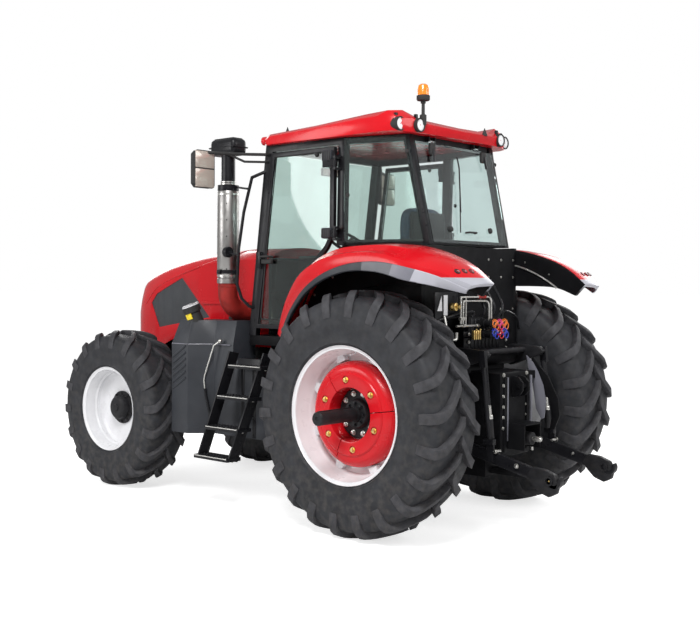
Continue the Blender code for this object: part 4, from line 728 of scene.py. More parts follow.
class TRACTOR_OT_finishes(bpy.types.Operator):
    """Give every node of the frame its finish"""
    bl_idname = "tractor.finishes"
    bl_label = "Finishes"

    def execute(self, context):
        for name in SLOT_OF:
            node = frame["nodes"][name]
            painted(node, node_finish(name))
            node.data.shade_smooth()
            pick_up(node)
            bpy.ops.object.shade_smooth_by_angle(angle=math.radians(35))
        put_down()
        return {"FINISHED"}


# ---- softened copies of the frame's hard nodes

SOFTENED = {  # edge radius of the pressed, cast or moulded piece
    "cab_base": 0.008, "cab_frame": 0.004, "cowl": 0.01, "door_left": 0.004, "door_right": 0.004,
    "engine": 0.006, "front_axle": 0.006, "front_weights": 0.008, "gearbox": 0.005, "knuckle_left": 0.006,
    "knuckle_right": 0.006, "lift_arms": 0.006, "lift_rod_left": 0.003, "lift_rod_right": 0.003,
    "lower_link_left": 0.006, "lower_link_right": 0.006, "roof": 0.012, "steps_left": 0.004,
    "steps_right": 0.004, "fuel_tank": 0.022, "toolbox": 0.022,
    "steering_wheel": 0.002, "tie_rod": 0.003, "mirror_left": 0.004, "mirror_right": 0.004,
}


def merged_copy(node):
    """A copy of a CAD node's mesh with its loose triangles merged, measured from the rear axle."""
    part = bpy.data.objects.new(node + "_copy", frame["nodes"][node].data.copy())
    bpy.context.scene.collection.objects.link(part)
    part.data.transform(Matrix.Translation((0, -AXLE_Y, 0)))
    with editing(part):
        bpy.ops.mesh.remove_doubles(threshold=WELD)
        bpy.ops.mesh.dissolve_limited(angle_limit=math.radians(0.8))
    return part


class TRACTOR_OT_softened(bpy.types.Operator):
    """Round the edges of the castings, pressings and mouldings"""
    bl_idname = "tractor.softened"
    bl_label = "Rounded edges"

    def execute(self, context):
        for node, radius in SOFTENED.items():
            part = merged_copy(node)
            if node == "roof":
                without_beacon(part)
            rounded(part, radius, 3, 38)
            settle([part], node + "_dressed", BODY_OF[node], node_finish(node), stands_for=(node,))
        return {"FINISHED"}


BEACON = Vector((0.5, 0.175, 0.0))
BEACON_FOOT = 3.15  # height above which the roof's copy gives way to the detailed beacon


def without_beacon(roof):
    """Take the plain beacon off the roof's copy and close the place where it stood."""
    near = 0.09
    with editing_chosen(roof, lambda vert: vert.co.z > BEACON_FOOT and (vert.co - BEACON).xy.length < near):
        bpy.ops.mesh.delete(type="VERT")
    return tidied(roof)


# ---- smooth sheets

def flowing(points, steps):
    """Points of a smooth curve through the given ones, so many to each span."""
    points = [Vector(point) for point in points]
    ends = [points[0] * 2 - points[1]] + points + [points[-1] * 2 - points[-2]]
    curve = []
    for a, b, c, d in zip(ends, ends[1:], ends[2:], ends[3:]):
        for step in range(steps):
            t = step / steps
            curve.append((b * 2 + (c - a) * t + (a * 2 - b * 5 + c * 4 - d) * t * t
                          + (b * 3 - a - c * 3 + d) * t ** 3) / 2)
    return curve + [points[-1]]


def sheet(rows, steps=1):
    """A surface through rows of points, the rows joined by smooth curves."""
    columns = [flowing(column, steps) for column in zip(*rows)]
    rows = list(zip(*columns))
    put_down()
    bpy.ops.mesh.primitive_grid_add(x_subdivisions=len(rows[0]) - 1, y_subdivisions=len(rows) - 1, size=1)
    part = place_applied()
    for vert, point in zip(part.data.vertices, [point for row in rows for point in row]):
        vert.co = point
    return part


def tidied(part):
    """Merge what meets, close the ends and turn every face outwards."""
    with editing(part):
        bpy.ops.mesh.remove_doubles(threshold=WELD)
        bpy.ops.mesh.select_all(action="DESELECT")
        bpy.ops.mesh.select_non_manifold()
        bpy.ops.mesh.fill_holes(sides=0)
        face_out()
    return part


def lofted(rings, steps=1):
    """A solid through closed rings of points, its two ends filled."""
    return tidied(sheet([list(ring) + [ring[0]] for ring in rings], steps))


# ---- hood

HOOD_NOSE = -3.77
HOOD_WALL = 0.012
HOOD_ROWS = [  # behind the nose, half width, bottom, shoulder, crown, top
    (0.0, 0.1, 1.215, 1.45, 1.52, 1.54),
    (0.12, 0.2, 1.2, 1.53, 1.66, 1.68),
    (0.21, 0.265, 1.19, 1.59, 1.77, 1.79),
    (0.33, 0.315, 1.185, 1.67, 1.875, 1.9),
    (0.55, 0.352, 1.2, 1.8, 1.955, 1.985),
    (0.82, 0.378, 1.31, 1.9, 2.025, 2.055),
    (1.27, 0.4, 1.445, 2.02, 2.105, 2.135),
    (1.78, 0.415, 1.5, 2.07, 2.145, 2.18),
]
HOOD_CREASE = [(0.398, -2.1, 2.098), (0.3885, -2.254, 2.074), (0.3975, -2.535, 2.004), (0.3825, -2.843, 1.927),
               (0.3555, -3.179, 1.82), (0.3245, -3.391, 1.659)]
HOOD_WINDOW = [(1.41, 1.545), (0.62, 1.43), (0.48, 1.665), (0.58, 1.755), (1.0, 1.91)]


def hood_ring(behind, half, bottom, shoulder, crown, top, inset=0.0):
    """Half a hood section and its mirror image, drawn in by the inset."""
    half -= inset
    over = [(half, shoulder), (half * 0.88, crown - 0.02), (half * 0.62, crown + 0.015), (half * 0.3, top - 0.005),
            (0, top)]
    over = [Vector((x, 0, z - inset)) for x, z in over + [(-x, z) for x, z in over[-2::-1]]]
    side = [Vector((half, 0, bottom)), Vector((half, 0, (bottom + shoulder) / 2))]
    other = [Vector((-point.x, 0, point.z)) for point in reversed(side)]
    return [point + Vector((0, HOOD_NOSE + behind + (inset if behind == 0 else 0), 0))
            for point in side + flowing(over, 3) + other]


def hood_solid(inset):
    rings = [hood_ring(*row, inset=inset) for row in HOOD_ROWS]
    return tidied(sheet([ring + [ring[0]] for ring in rings], 4))


class TRACTOR_OT_hood(bpy.types.Operator):
    """Make the red hood with its meshed openings, nose lamps and side ribs"""
    bl_idname = "tractor.hood"
    bl_label = "Hood"

    def execute(self, context):
        shell = hood_solid(0.0)
        core = hood_solid(HOOD_WALL)
        core.data.transform(Matrix.Translation((0, 0.02, -0.02)))
        cut(shell, core)
        panel = hood_solid(HOOD_WALL / 2)
        cut(panel, hood_solid(HOOD_WALL))
        window = flat([(-0.6, HOOD_NOSE + y, z) for y, z in HOOD_WINDOW], (1.2, 0, 0))
        applied(panel, "BOOLEAN", operation="INTERSECT", object=window, solver="EXACT")
        cut(shell, window)
        cut(shell, block((-0.17, 0.17), (HOOD_NOSE - 0.1, HOOD_NOSE + 0.25), (1.255, 1.405), 0.02))
        made, add = batch()
        add(rounded(shell, 0.003, 2, 50), "red_enamel")
        for side in (-1, 1):
            add(block(sided(side, 0.4105, 0.4215), (-2.45, -2.04), (1.666, 1.694), 0.005), "red_enamel")
            add(block(sided(side, 0.12, 0.16), (-2.07, -1.93), (2.107, 2.132), 0.006), "black_enamel")
            for z in (1.545, 2.02):
                add(block(sided(side, 0.408, 0.4195), (-2.06 - 0.024, -2.06 + 0.024), (z - 0.016, z + 0.016), 0.005),
                    "black_plastic")
            add(pipe([(side * x, y, z) for x, y, z in flowing(HOOD_CREASE, 6)], 0.007), "red_enamel")
        settle(made, "hood_shell", "hood_body", angle=28, stands_for=("hood",))
        settle([tidied(panel)], "hood_mesh", "hood_body", "wire_mesh", stands_for=("hood_grille",))
        made, add = batch()
        for side in (-1, 1):
            centre = (side * 0.06, HOOD_NOSE - 0.004, 1.485)
            rim = turned([(0.09, 0), (0.09, 0.038), (0.01, 0.038), (-0.002, 0.034), (0.004, 0.029), (0.02, 0.026),
                          (0.026, 0)], "Y", centre, 32)
            lens = turned([(0.003, 0), (0.001, 0.014), (0.004, 0.028), (0.012, 0.028), (0.012, 0)], "Y", centre, 32)
            add(rim, "black_plastic")
            add(lens, "lamp_lens")
        for z in (1.272, 1.301, 1.33, 1.359, 1.388):
            bar_span = (HOOD_NOSE + 0.03, HOOD_NOSE + 0.052)
            add(block((-0.096, 0.096), bar_span, (z - 0.005, z + 0.005), 0.003), "black_plastic")
        settle(made, "nose_lamps", "hood_body")
        return {"FINISHED"}


# ---- fenders

FENDER_ROWS = [  # angle forward of top, inner radius, shoulder x, drop, outer x, outer radius, height of the skirt
    (60, 1.11, 0.86, 0.025, 0.93, 1.03, 0.02),
    (50, 1.17, 0.88, 0.03, 0.97, 1.022, 0.03),
    (40, 1.225, 0.9, 0.035, 1.02, 1.012, 0.035),
    (28, 1.27, 0.93, 0.04, 1.085, 1.008, 0.04),
    (14, 1.262, 0.97, 0.045, 1.135, 1.018, 0.045),
    (0, 1.248, 0.99, 0.045, 1.15, 1.042, 0.055),
    (-14, 1.272, 1.0, 0.04, 1.15, 1.068, 0.075),
    (-27, 1.303, 0.99, 0.025, 1.14, 1.1, 0.095),
    (-36, 1.325, 0.94, 0.015, 1.06, 1.165, 0.08),
    (-44, 1.33, 0.84, 0.01, 0.91, 1.235, 0.04),
]
FENDER_WALL = 0.024
LINER_LOW = [0.98, 0.96, 0.95, 0.95, 0.95, 0.95, 0.97, 1.055, 1.145, 1.205]  # lower radius of the inner liner
TAIL_SPLIT = 1.904  # height at which the tail of a fender turns from red to grey
TAIL_LAMPS = [(0.922, 0.804, 1.946), (0.858, 0.817, 1.947), (0.782, 0.822, 1.947)]
TAIL_FACING = (0.05, 0.62, 0.78)
SKIRT_SPLITS = (0.15, 0.43, 0.595)  # lengths behind the axle at which the skirt turns paler


def on_fender(x, radius, angle):
    turn = math.radians(angle)
    return (x, -radius * math.sin(turn), REAR_AXLE.z + radius * math.cos(turn))


class TRACTOR_OT_fenders(bpy.types.Operator):
    """Make the rear fenders with their grey skirts, tail lamps and inner liners"""
    bl_idname = "tractor.fenders"
    bl_label = "Fenders"

    def execute(self, context):
        inner_x = span("fender_left")[0].x
        tops = []
        skirts = []
        wall = FENDER_WALL
        for angle, inner, shoulder, drop, outer_x, outer, skirt in FENDER_ROWS:
            middle = (inner + outer) / 2
            tops.append([on_fender(x, r, angle) for x, r in (
                (inner_x, inner), (inner_x * 0.6 + shoulder * 0.4, inner + 0.002),
                (shoulder - 0.03, inner - drop * 0.3), (shoulder + 0.015, inner - drop * 1.25),
                (outer_x - 0.012, middle + 0.03), (outer_x, middle - 0.01),
                (outer_x, outer + skirt * 0.5), (outer_x - 0.01, outer + skirt * 0.5),
                (outer_x - 0.01, middle - wall * 0.4), (shoulder - wall * 0.5, inner - drop - wall),
                (inner_x + wall, inner - wall), (inner_x + wall, outer + 0.02), (inner_x, outer + 0.02))])
            skirts.append([on_fender(x, r, angle) for x, r in (
                (outer_x + 0.001, outer + skirt), (outer_x + 0.007, outer + skirt - 0.004),
                (outer_x + 0.007, outer + 0.004), (outer_x + 0.002, outer - 0.002),
                (outer_x - 0.024, outer - 0.002), (outer_x - 0.024, outer + 0.006),
                (outer_x - 0.01, outer + 0.01), (outer_x - 0.012, outer + skirt))])
        top = lofted(tops, 4)
        with editing(top):
            bpy.ops.mesh.bisect(plane_co=(0, 0, TAIL_SPLIT), plane_no=(0, 0, 1))
        painted(top, "red_enamel")
        for finish in ("pale_moulding", "deep_black"):
            top.data.materials.append(finish_named(finish))
        for face in top.data.polygons:
            face.material_index = int(face.center.z < TAIL_SPLIT and face.center.y > 0.6)
            if face.center.x < inner_x + 0.002:
                face.material_index = 2
        rounded(top, 0.003, 2, 50)
        liner = lofted([[on_fender(x, r, row[0]) for x, r in (
            (inner_x - 0.006, row[1] - 0.018), (inner_x + 0.03, row[1] - 0.03), (inner_x + 0.03, low),
            (inner_x - 0.006, low))] for row, low in zip(FENDER_ROWS, LINER_LOW)], 3)
        skirt_part = painted(rounded(lofted(skirts, 4), 0.002, 2, 50), "slate_plastic")
        lamps, add = batch()
        for place in TAIL_LAMPS:
            bezel = turned([(-0.02, 0), (-0.02, 0.023), (0.005, 0.023), (0.007, 0.02), (0.004, 0.018), (0.004, 0)],
                           "Z", (0, 0, 0), 28)
            lens = turned([(0.003, 0.018), (0.006, 0.012), (0.0075, 0.006), (0.008, 0)], "Z", (0, 0, 0), 28)
            add(aimed(bezel, place, TAIL_FACING), "black_plastic")
            add(aimed(lens, place, TAIL_FACING), "dark_lens")
        bolts, add = batch()
        for angle in (42, 30, 18, 6, -6, -18, -30):
            add(bolt("X", on_fender(inner_x + 0.03, 1.16, angle), 0.009, 0.008), "bright_zinc")
            add(bolt("X", on_fender(inner_x, 1.195, angle), 0.009, 0.008, -1), "bright_zinc")
        conduit = pipe([on_fender(inner_x - 0.013, 1.146, angle) for angle in range(20, -37, -4)], 0.009, 0.0, 12)
        for finish in ("dull_moulding", "grey_moulding", "pale_moulding"):
            skirt_part.data.materials.append(finish_named(finish))
        for face in skirt_part.data.polygons:
            face.material_index = sum(face.center.y > split for split in SKIRT_SPLITS)
        parts = [top, skirt_part, painted(liner, "deep_black"), painted(conduit, "bright_zinc")] + bolts + lamps
        settle_pair(parts, "fender_dress", CHASSIS, "fender", angle=30)
        return {"FINISHED"}


# ---- hydraulics and hitch

WALL_REAR = 0.279  # rear face of the cab's rear wall
PTO = (0, 0, 0.7)  # axis of the power take-off
REAR_BOLTS = [  # columns, rows, face that they sit on, radius, height
    ((-0.147, 0.173), (0.78, 0.86, 0.94, 1.02, 1.1, 1.18), 0.699, 0.012, 0.012),
    ((-0.255, 0.255), (1.36, 1.42, 1.48), 0.438, 0.009, 0.01),
    ((-0.6, -0.42, -0.24, 0.24, 0.45, 0.62), (1.66, 1.92, 2.06), WALL_REAR, 0.008, 0.007),
]


class TRACTOR_OT_hydraulics(bpy.types.Operator):
    """Make the rear valve with its pipes, brass levers, coloured dust caps, plates and bolts"""
    bl_idname = "tractor.hydraulics"
    bl_label = "Rear hydraulics"

    def execute(self, context):
        made, add = batch()
        for x in (-0.15, -0.1, -0.05, 0.0, 0.05, 0.1, 0.15, 0.2):
            add(block((x - 0.021, x + 0.021), (0.345, 0.436), (1.315, 1.598), 0.006), "black_enamel")
        caps = ["orange_cap", "blue_cap", "pink_cap", "red_lens", "orange_cap", "blue_cap"]
        places = [(x, z) for x in (0.062, -0.005, -0.072) for z in (1.556, 1.486)]
        for (x, z), cap in zip(places, caps):
            add(turned([(0.43, 0), (0.43, 0.03), (0.452, 0.03), (0.456, 0.022), (0.52, 0.022), (0.52, 0)], "Y",
                       (x, 0, z), 24), "bright_zinc")
            add(turned([(0.515, 0), (0.515, 0.024), (0.538, 0.025), (0.544, 0.021), (0.546, 0)], "Y", (x, 0, z), 24),
                "black_plastic")
            add(hoop("Y", (x, 0.541, z), 0.024, 0.0045, 28, 8), cap)
            add(hoop("Y", (x - 0.022, 0.549, z - 0.016), 0.026, 0.0036, 28, 8), cap)
            add(hoop("X", (x + 0.026, 0.56, z + 0.012), 0.024, 0.0034, 28, 8), cap)
        for k, x in enumerate((0.215, 0.24, 0.265, 0.29)):
            add(block((x - 0.008, x + 0.008), (0.492, 0.518), (1.442, 1.512), 0.004), "gold_zinc")
            add(block((x - 0.006, x + 0.006), (0.42, 0.5), (1.452, 1.464), 0.003), "black_enamel")
            if k % 2 == 0:
                add(ball((x, 0.516, 1.516), 0.008), "gold_zinc")
        add(block((0.2, 0.305), (0.415, 0.428), (1.35, 1.5), 0.006), "black_enamel")
        for lift, reach in ((0.0, 0.0), (0.03, 0.03)):
            near, far = (0.383 - reach, 0.452), (-0.02 + reach, 0.454)
            add(pipe([(*near, 1.56), (*near, 1.763 - lift), (*far, 1.763 - lift), (*far, 1.56)], 0.0085, 0.045, 14),
                "bright_zinc")
        add(pipe([(0.42, 0.44, 1.545), (0.08, 0.448, 1.543)], 0.01, 0, 14), "bright_zinc")
        add(pipe([(0.3, 0.44, 1.76), (0.3, 0.44, 1.54)], 0.007, 0, 12), "bright_zinc")
        add(pipe([(0.52, 0.396, 1.62), (0.52, 0.44, 1.45), (0.437, 0.452, 1.44), (0.437, 0.452, 1.5)], 0.013,
                 0.025, 14), "bright_zinc")
        for place in ((0.33, 0.44, 1.545), (0.15, 0.446, 1.543), (0.383, 0.452, 1.6), (0.353, 0.452, 1.6)):
            add(turned([(-0.014, 0), (-0.014, 0.016), (0.014, 0.016), (0.014, 0)], "X", place, 6),
                "bright_zinc")
        add(pipe([(0.15, 0.452, 1.763), (0.06, 0.453, 1.763)], 0.0125, 0, 16), "rust_red")
        add(flat([(0.6, 0.392, 1.66), (0.54, 0.392, 1.66), (0.548, 0.392, 1.772)], (0, 0.004, 0)), "white_enamel")
        add(block((0.47, 0.52), (0.388, 0.396), (1.625, 1.778), 0.003), "white_enamel")
        add(drum("Y", (0.42, 0.392, 1.69), 0.03, 0.05, 24, 0.004), "gold_zinc")
        add(drum("Y", (0.42, 0.44, 1.69), 0.014, 0.03, 6), "gold_zinc")
        add(block((0.33, 0.62), (0.372, 0.39), (1.6, 1.8), 0.008), "black_enamel")
        for columns, rows, y, radius, height in REAR_BOLTS:
            for x in columns:
                for z in rows:
                    add(bolt("Y", (x, y, z), radius, height), "bright_zinc")
        for run in ([(0.06, 0.42, 1.6), (0.06, 0.44, 1.69), (0.05, WALL_REAR + 0.018, 1.88)],
                    [(-0.06, 0.42, 1.6), (-0.08, 0.44, 1.7), (-0.1, WALL_REAR + 0.018, 1.9)],
                    [(-0.16, 0.42, 1.6), (-0.2, 0.44, 1.69), (-0.26, WALL_REAR + 0.018, 1.88)],
                    [(0.2, 0.42, 1.59), (0.2, 0.43, 1.65), (0.5, 0.4, 1.61), (0.66, 0.36, 1.56)],
                    [(-0.22, 0.42, 1.59), (-0.24, 0.43, 1.65), (-0.46, 0.4, 1.6), (-0.6, 0.34, 1.5)]):
            add(pipe(flowing(run, 6), 0.011, 0, 12), "black_enamel")
        add(turned([(0.7, 0), (0.7, 0.062), (0.712, 0.07), (0.76, 0.07), (0.766, 0.052), (0.85, 0.048),
                    (0.856, 0.03), (0.856, 0)], "Y", PTO, 32), "black_casting")
        shaft = turned([(0.85, 0), (0.85, 0.0175), (0.92, 0.0175), (0.926, 0.014), (0.926, 0)], "Y", PTO,
                       24)
        add(shaft, "bright_zinc")
        spline = block((-0.003, 0.003), (0.862, 0.922), (0.7165, 0.721), 0.001)
        add(around(spline, "Y", PTO, 6), "bright_zinc")
        arc = [(0.607, 1.305), (0.668, 1.252), (0.713, 1.184), (0.763, 1.075), (0.788, 0.952),
               (0.774, 0.825), (0.748, 0.809), (0.699, 0.888), (0.666, 1.083), (0.633, 1.165)]
        add(flat([(-0.291, y, z) for y, z in arc], (-0.008, 0, 0), 0.002), "grey_moulding")
        for x in (0.128, -0.204):
            add(block((x - 0.009, x + 0.009), (0.69, 0.713), (0.68, 1.16), 0.003), "grey_moulding")
        add(pipe([(-0.3, 0.66, 0.56), (-0.3, 0.66, 0.78)], 0.013, 0, 16), "bright_zinc")
        for z in (0.59, 0.74):
            add(drum("Z", (-0.3, 0.66, z), 0.019, 0.022, 6, 0.002), "bright_zinc")
        settle(made, "rear_hydraulics", "chassis")
        return {"FINISHED"}


# ---- cab trim

def aimed(part, place, normal):
    """Turn a part made about the origin, facing +Z, to a normal and carry it to its place."""
    part.data.transform(Matrix.Translation(place) @ Vector(normal).to_track_quat("Z", "Y").to_matrix().to_4x4())
    return part


PANE_KNOB = [(0, 0), (0, 0.017), (0.01, 0.015), (0.014, 0.01), (0.014, 0)]
WINDOW_KNOB = [(-0.004, 0), (-0.004, 0.024), (0.01, 0.022), (0.016, 0.014), (0.016, 0)]


def knob(profile, place, normal, steps):
    """A turned knob that stands on a face with the given normal."""
    return aimed(turned(profile, "Z", (0, 0, 0), steps), place, normal)


def seal(corners, radius):
    """A rubber bead round a pane."""
    corners = [Vector(point) for point in corners]
    start = (corners[0] + corners[-1]) / 2
    return pipe([start, *corners, start], radius, 0.03, 8)


class TRACTOR_OT_cab_trim(bpy.types.Operator):
    """Make the lamps' lenses, beacon, antennas, wiper, hinge covers, pane fasteners and window stays"""
    bl_idname = "tractor.cab_trim"
    bl_label = "Cab trim"

    def execute(self, context):
        made, add = batch()
        for x, y in ((0.705, 0.123), (0.545, 0.188), (-0.545, 0.188), (-0.705, 0.123)):
            z = 3.055
            add(turned([(-0.06, 0.045), (-0.06, 0.052), (0.002, 0.054), (0.006, 0.05), (0.003, 0.044)], "Y",
                       (x, y, z), 32), "black_plastic")
            add(turned([(-0.004, 0), (0.002, 0.025), (-0.003, 0.045), (-0.01, 0.045), (-0.01, 0)], "Y", (x, y, z),
                       32), "lamp_lens")
            add(block((x - 0.012, x + 0.012), (y - 0.06, y - 0.035), (z + 0.04, z + 0.085), 0.004), "black_enamel")
        for x, y in ((0.705, -1.338), (0.545, -1.352), (-0.545, -1.352), (-0.705, -1.338)):
            add(turned([(-0.004, 0), (-0.008, 0.022), (-0.003, 0.035), (0.006, 0.035), (0.006, 0)], "Y", (x, y, 3.045),
                       32), "lamp_lens")
        add(turned([(3.06, 0), (3.06, 0.026), (3.135, 0.026), (3.142, 0.013), (3.22, 0.0125), (3.224, 0.019),
                    (3.24, 0.02), (3.244, 0.046), (3.252, 0.051), (3.28, 0.051), (3.286, 0.043), (3.286, 0)], "Z",
                   BEACON, 32), "black_plastic")
        dome = turned([(3.284, 0), (3.284, 0.0455), (3.335, 0.044), (3.358, 0.037), (3.3685, 0.022), (3.3698, 0)],
                      "Z", BEACON, 40)
        add(dome, "amber_lens")
        for z in (3.298, 3.31, 3.322):
            add(hoop("Z", BEACON + Vector((0, 0, z)), 0.0445, 0.0016, 36, 6), "amber_lens")
        for x, y, z in ((0.563, -1.2, 3.104), (-0.3, 0.19, 3.064)):
            add(turned([(0, 0), (0, 0.024), (0.009, 0.022), (0.05, 0.006), (0.062, 0.003), (0.062, 0)], "Z", (x, y, z),
                       24), "black_plastic")
        for place in ((0.677, -0.394, 2.548), (0.558, 0.093, 2.862), (0.7, -0.44, 2.3)):
            for x in (1, -1):
                side_place = (place[0] * x + 0.032 * x, place[1], place[2])
                add(knob(PANE_KNOB, side_place, (0.97 * x, 0.25, 0), 20), "black_plastic")
        settle(made, "cab_lamps", "chassis")
        made, add = batch()
        for x in (0.336, -0.355):
            add(rounded(block((x - 0.032, x + 0.032), (0.122, 0.152), (2.852, 2.94)), 0.01, 3), "black_plastic")
            add(pipe([(x, 0.15, 2.9), (x * 1.02, 0.168, 2.8)], 0.01, 0, 12), "black_enamel")
        for x, z in ((0.255, 2.284), (-0.282, 2.291)):
            add(knob(WINDOW_KNOB, (x, 0.262, z), (0, 0.98, 0.22), 24), "black_plastic")
        add(pipe([(-0.06, 0.262, 2.262), (-0.05, 0.292, 2.266), (0.05, 0.292, 2.266), (0.06, 0.262, 2.262)], 0.008,
                 0.012, 12), "black_plastic")
        add(pipe([(0.02, 0.148, 2.86), (0.022, 0.17, 2.78), (0.11, 0.252, 2.42)], 0.006, 0.02, 8),
            "black_enamel")
        add(pipe([(0.06, 0.205, 2.62), (0.15, 0.28, 2.262)], 0.005, 0, 8), "black_plastic")
        settle(made, "rear_window_trim", BODY_OF["rear_window"])
        made, add = batch()
        for z in (2.255, 2.862):
            add(block((0.742, 0.786), (-0.612, -0.512), (z - 0.042, z + 0.042), 0.012, 3), "slate_plastic")
            for step in range(4):
                y = -0.596 + 0.022 * step
                add(block((0.784, 0.79), (y, y + 0.012), (z - 0.034, z + 0.034), 0.002), "black_plastic")
        add(block((0.739, 0.775), (-1.3, -1.18), (2.02, 2.062), 0.01, 3), "black_plastic")
        add(pipe([(0.745, -1.285, 2.075), (0.792, -1.28, 2.08), (0.792, -1.19, 2.082), (0.745, -1.186, 2.078)],
                 0.009, 0.015, 12), "black_plastic")
        for place in ((0.739, -1.01, 2.915), (0.739, -0.7, 2.88)):
            add(knob(PANE_KNOB, place, (1, 0, 0), 20), "black_plastic")
        add(seal([(0.742, -1.33, 1.56), (0.742, -1.175, 2.895), (0.742, -0.545, 2.895), (0.742, -0.548, 2.21),
                  (0.742, -0.64, 2.06), (0.742, -0.9, 1.56)], 0.006), "black_plastic")
        settle_pair(made, "door_trim", bodies_of("door"))
        return {"FINISHED"}


# ---- cab interior

class TRACTOR_OT_interior(bpy.types.Operator):
    """Make the padded seat, dash, console levers, pedals and the inner mirror"""
    bl_idname = "tractor.interior"
    bl_label = "Cab interior"

    def execute(self, context):
        cushion = cushioned((-0.25, 0.25), (-0.76, -0.24), (1.79, 1.905), ((-0.125, 0.125), "x"))
        back = cushioned((-0.235, 0.235), (-0.29, -0.15), (1.89, 2.475), ((2.06, 2.24), "z"))
        for part, name in ((cushion, "seat_cushion"), (back, "seat_back")):
            whole = settle([part], name, "chassis", "seat_cloth", 60)
        made, add = batch()
        add(block((-0.22, 0.22), (-0.74, -0.26), (1.745, 1.792), 0.015), "black_plastic")
        add(block((-0.15, 0.15), (-0.62, -0.28), (1.56, 1.75), 0.02), "black_plastic")
        for z in (1.6, 1.64, 1.68, 1.72):
            add(rounded(block((-0.162, 0.162), (-0.632, -0.268), (z - 0.012, z + 0.012)), 0.01, 3), "black_plastic")
        add(block((-0.215, 0.215), (-0.18, -0.14), (1.87, 2.44), 0.018, 3), "black_plastic")
        for side in (-1, 1):
            add(block(sided(side, 0.262, 0.318), (-0.64, -0.23), (2.02, 2.06), 0.016, 3), "black_plastic")
            add(pipe([(side * 0.25, -0.17, 1.85), (side * 0.29, -0.18, 1.98), (side * 0.29, -0.24, 2.03)],
                     0.014, 0.03, 10), "black_enamel")
        settle(made, "seat_base", "chassis", stands_for=("seat",))
        made, add = batch()
        add(block((0.3, 0.56), (-0.9, -0.06), (1.56, 1.96), 0.03, 3), "slate_plastic")
        add(block((0.32, 0.54), (-0.88, -0.3), (1.955, 1.985), 0.012, 3), "black_plastic")
        add(block((-0.56, -0.3), (-0.8, -0.06), (1.56, 1.9), 0.03, 3), "slate_plastic")
        for x, y, finish in ((-0.38, -0.72, "red_lens"), (-0.43, -0.64, "black_plastic"),
                             (-0.48, -0.56, "orange_cap"), (-0.38, -0.48, "black_plastic")):
            add(pipe([(x, y, 1.89), (x, y - 0.03, 2.01)], 0.007), "bright_zinc")
            add(ball((x, y - 0.032, 2.02), 0.022, (0.8, 0.8, 1.2)), finish)
        for k in range(5):
            x = 0.345 + 0.04 * k
            add(block((x - 0.012, x + 0.012), (-0.64, -0.56), (1.984, 1.992), 0.003),
                "lamp_lens" if k % 2 else "amber_lens")
        for x in (-0.15, 0.06, 0.16):
            add(pipe([(x, -1.33, 1.64), (x, -1.24, 1.7)], 0.01), "black_enamel")
            add(block((x - 0.04, x + 0.04), (-1.24, -1.216), (1.67, 1.75), 0.006), "black_plastic")
        settle(made, "cab_controls", "chassis")
        made, add = batch()
        add(block((-0.23, 0.23), (-1.33, -1.18), (1.9, 2.09), 0.04, 4), "slate_plastic")
        add(block((-0.19, 0.19), (-1.182, -1.168), (1.935, 2.07), 0.012, 3), "black_plastic")
        for x in (-0.11, 0.0, 0.11):
            add(turned([(0.01, 0), (0.01, 0.044), (0.018, 0.044), (0.022, 0.04), (0.014, 0.037), (0.014, 0)], "Y",
                       (x, -1.182, 2.005), 28), "bright_zinc")
            add(drum("Y", (x, -1.17, 2.005), 0.036, 0.004, 28), "lamp_lens")
        add(block((-0.11, 0.11), (-1.245, -1.215), (2.8, 2.87), 0.012, 3), "black_plastic")
        # the inner mirror's face: a beige grey painted reflection
        add(block((-0.1, 0.1), (-1.216, -1.212), (2.808, 2.862), 0.003), "mirror_face")
        add(pipe([(0, -1.23, 2.86), (0, -1.236, 2.95)], 0.008), "black_plastic")
        settle(made, "dash", "chassis")
        return {"FINISHED"}


CORNER_POWER = 5.0  # the higher, the squarer a cushion's corners
CROWN_DROP = 0.22  # share of its thickness that a cushion loses towards its rim
SEAM_REACH, SEAM_DEPTH = 0.03, 0.01


def cushioned(x, y, z, seams):
    """A crowned pad with sewn channels: a block whose grid is drawn in at the seams and swelled between."""
    part = block(x, y, z)
    with editing(part):
        bpy.ops.mesh.subdivide(number_cuts=23)
    low = [min(pair) for pair in (x, y, z)]
    high = [max(pair) for pair in (x, y, z)]
    centre = [(a + b) / 2 for a, b in zip(low, high)]
    half = [(b - a) / 2 for a, b in zip(low, high)]
    places, axis = seams
    line = "xyz".index(axis)
    thin = half.index(min(half))
    for vert in part.data.vertices:
        share = [(vert.co[k] - centre[k]) / half[k] for k in range(3)]
        length = sum(abs(value) ** CORNER_POWER for value in share) ** (1 / CORNER_POWER)
        if length > 0:
            share = [value / length * max(abs(value) for value in share) for value in share]
        wide = [share[k] for k in range(3) if k != thin]
        crown = 1.0 - CROWN_DROP * max(abs(value) for value in wide) ** 2
        place = [centre[k] + share[k] * half[k] for k in range(3)]
        place[thin] = centre[thin] + share[thin] * half[thin] * crown
        for seam_place in places:
            distance = abs(place[line] - seam_place)
            if distance < SEAM_REACH:
                place[thin] -= math.copysign(SEAM_DEPTH * (1 - distance / SEAM_REACH) ** 2, share[thin])
        vert.co = place
    return applied(part, "SUBSURF", levels=1, render_levels=1)


# ---- mirrors, hitch links, axle and belly

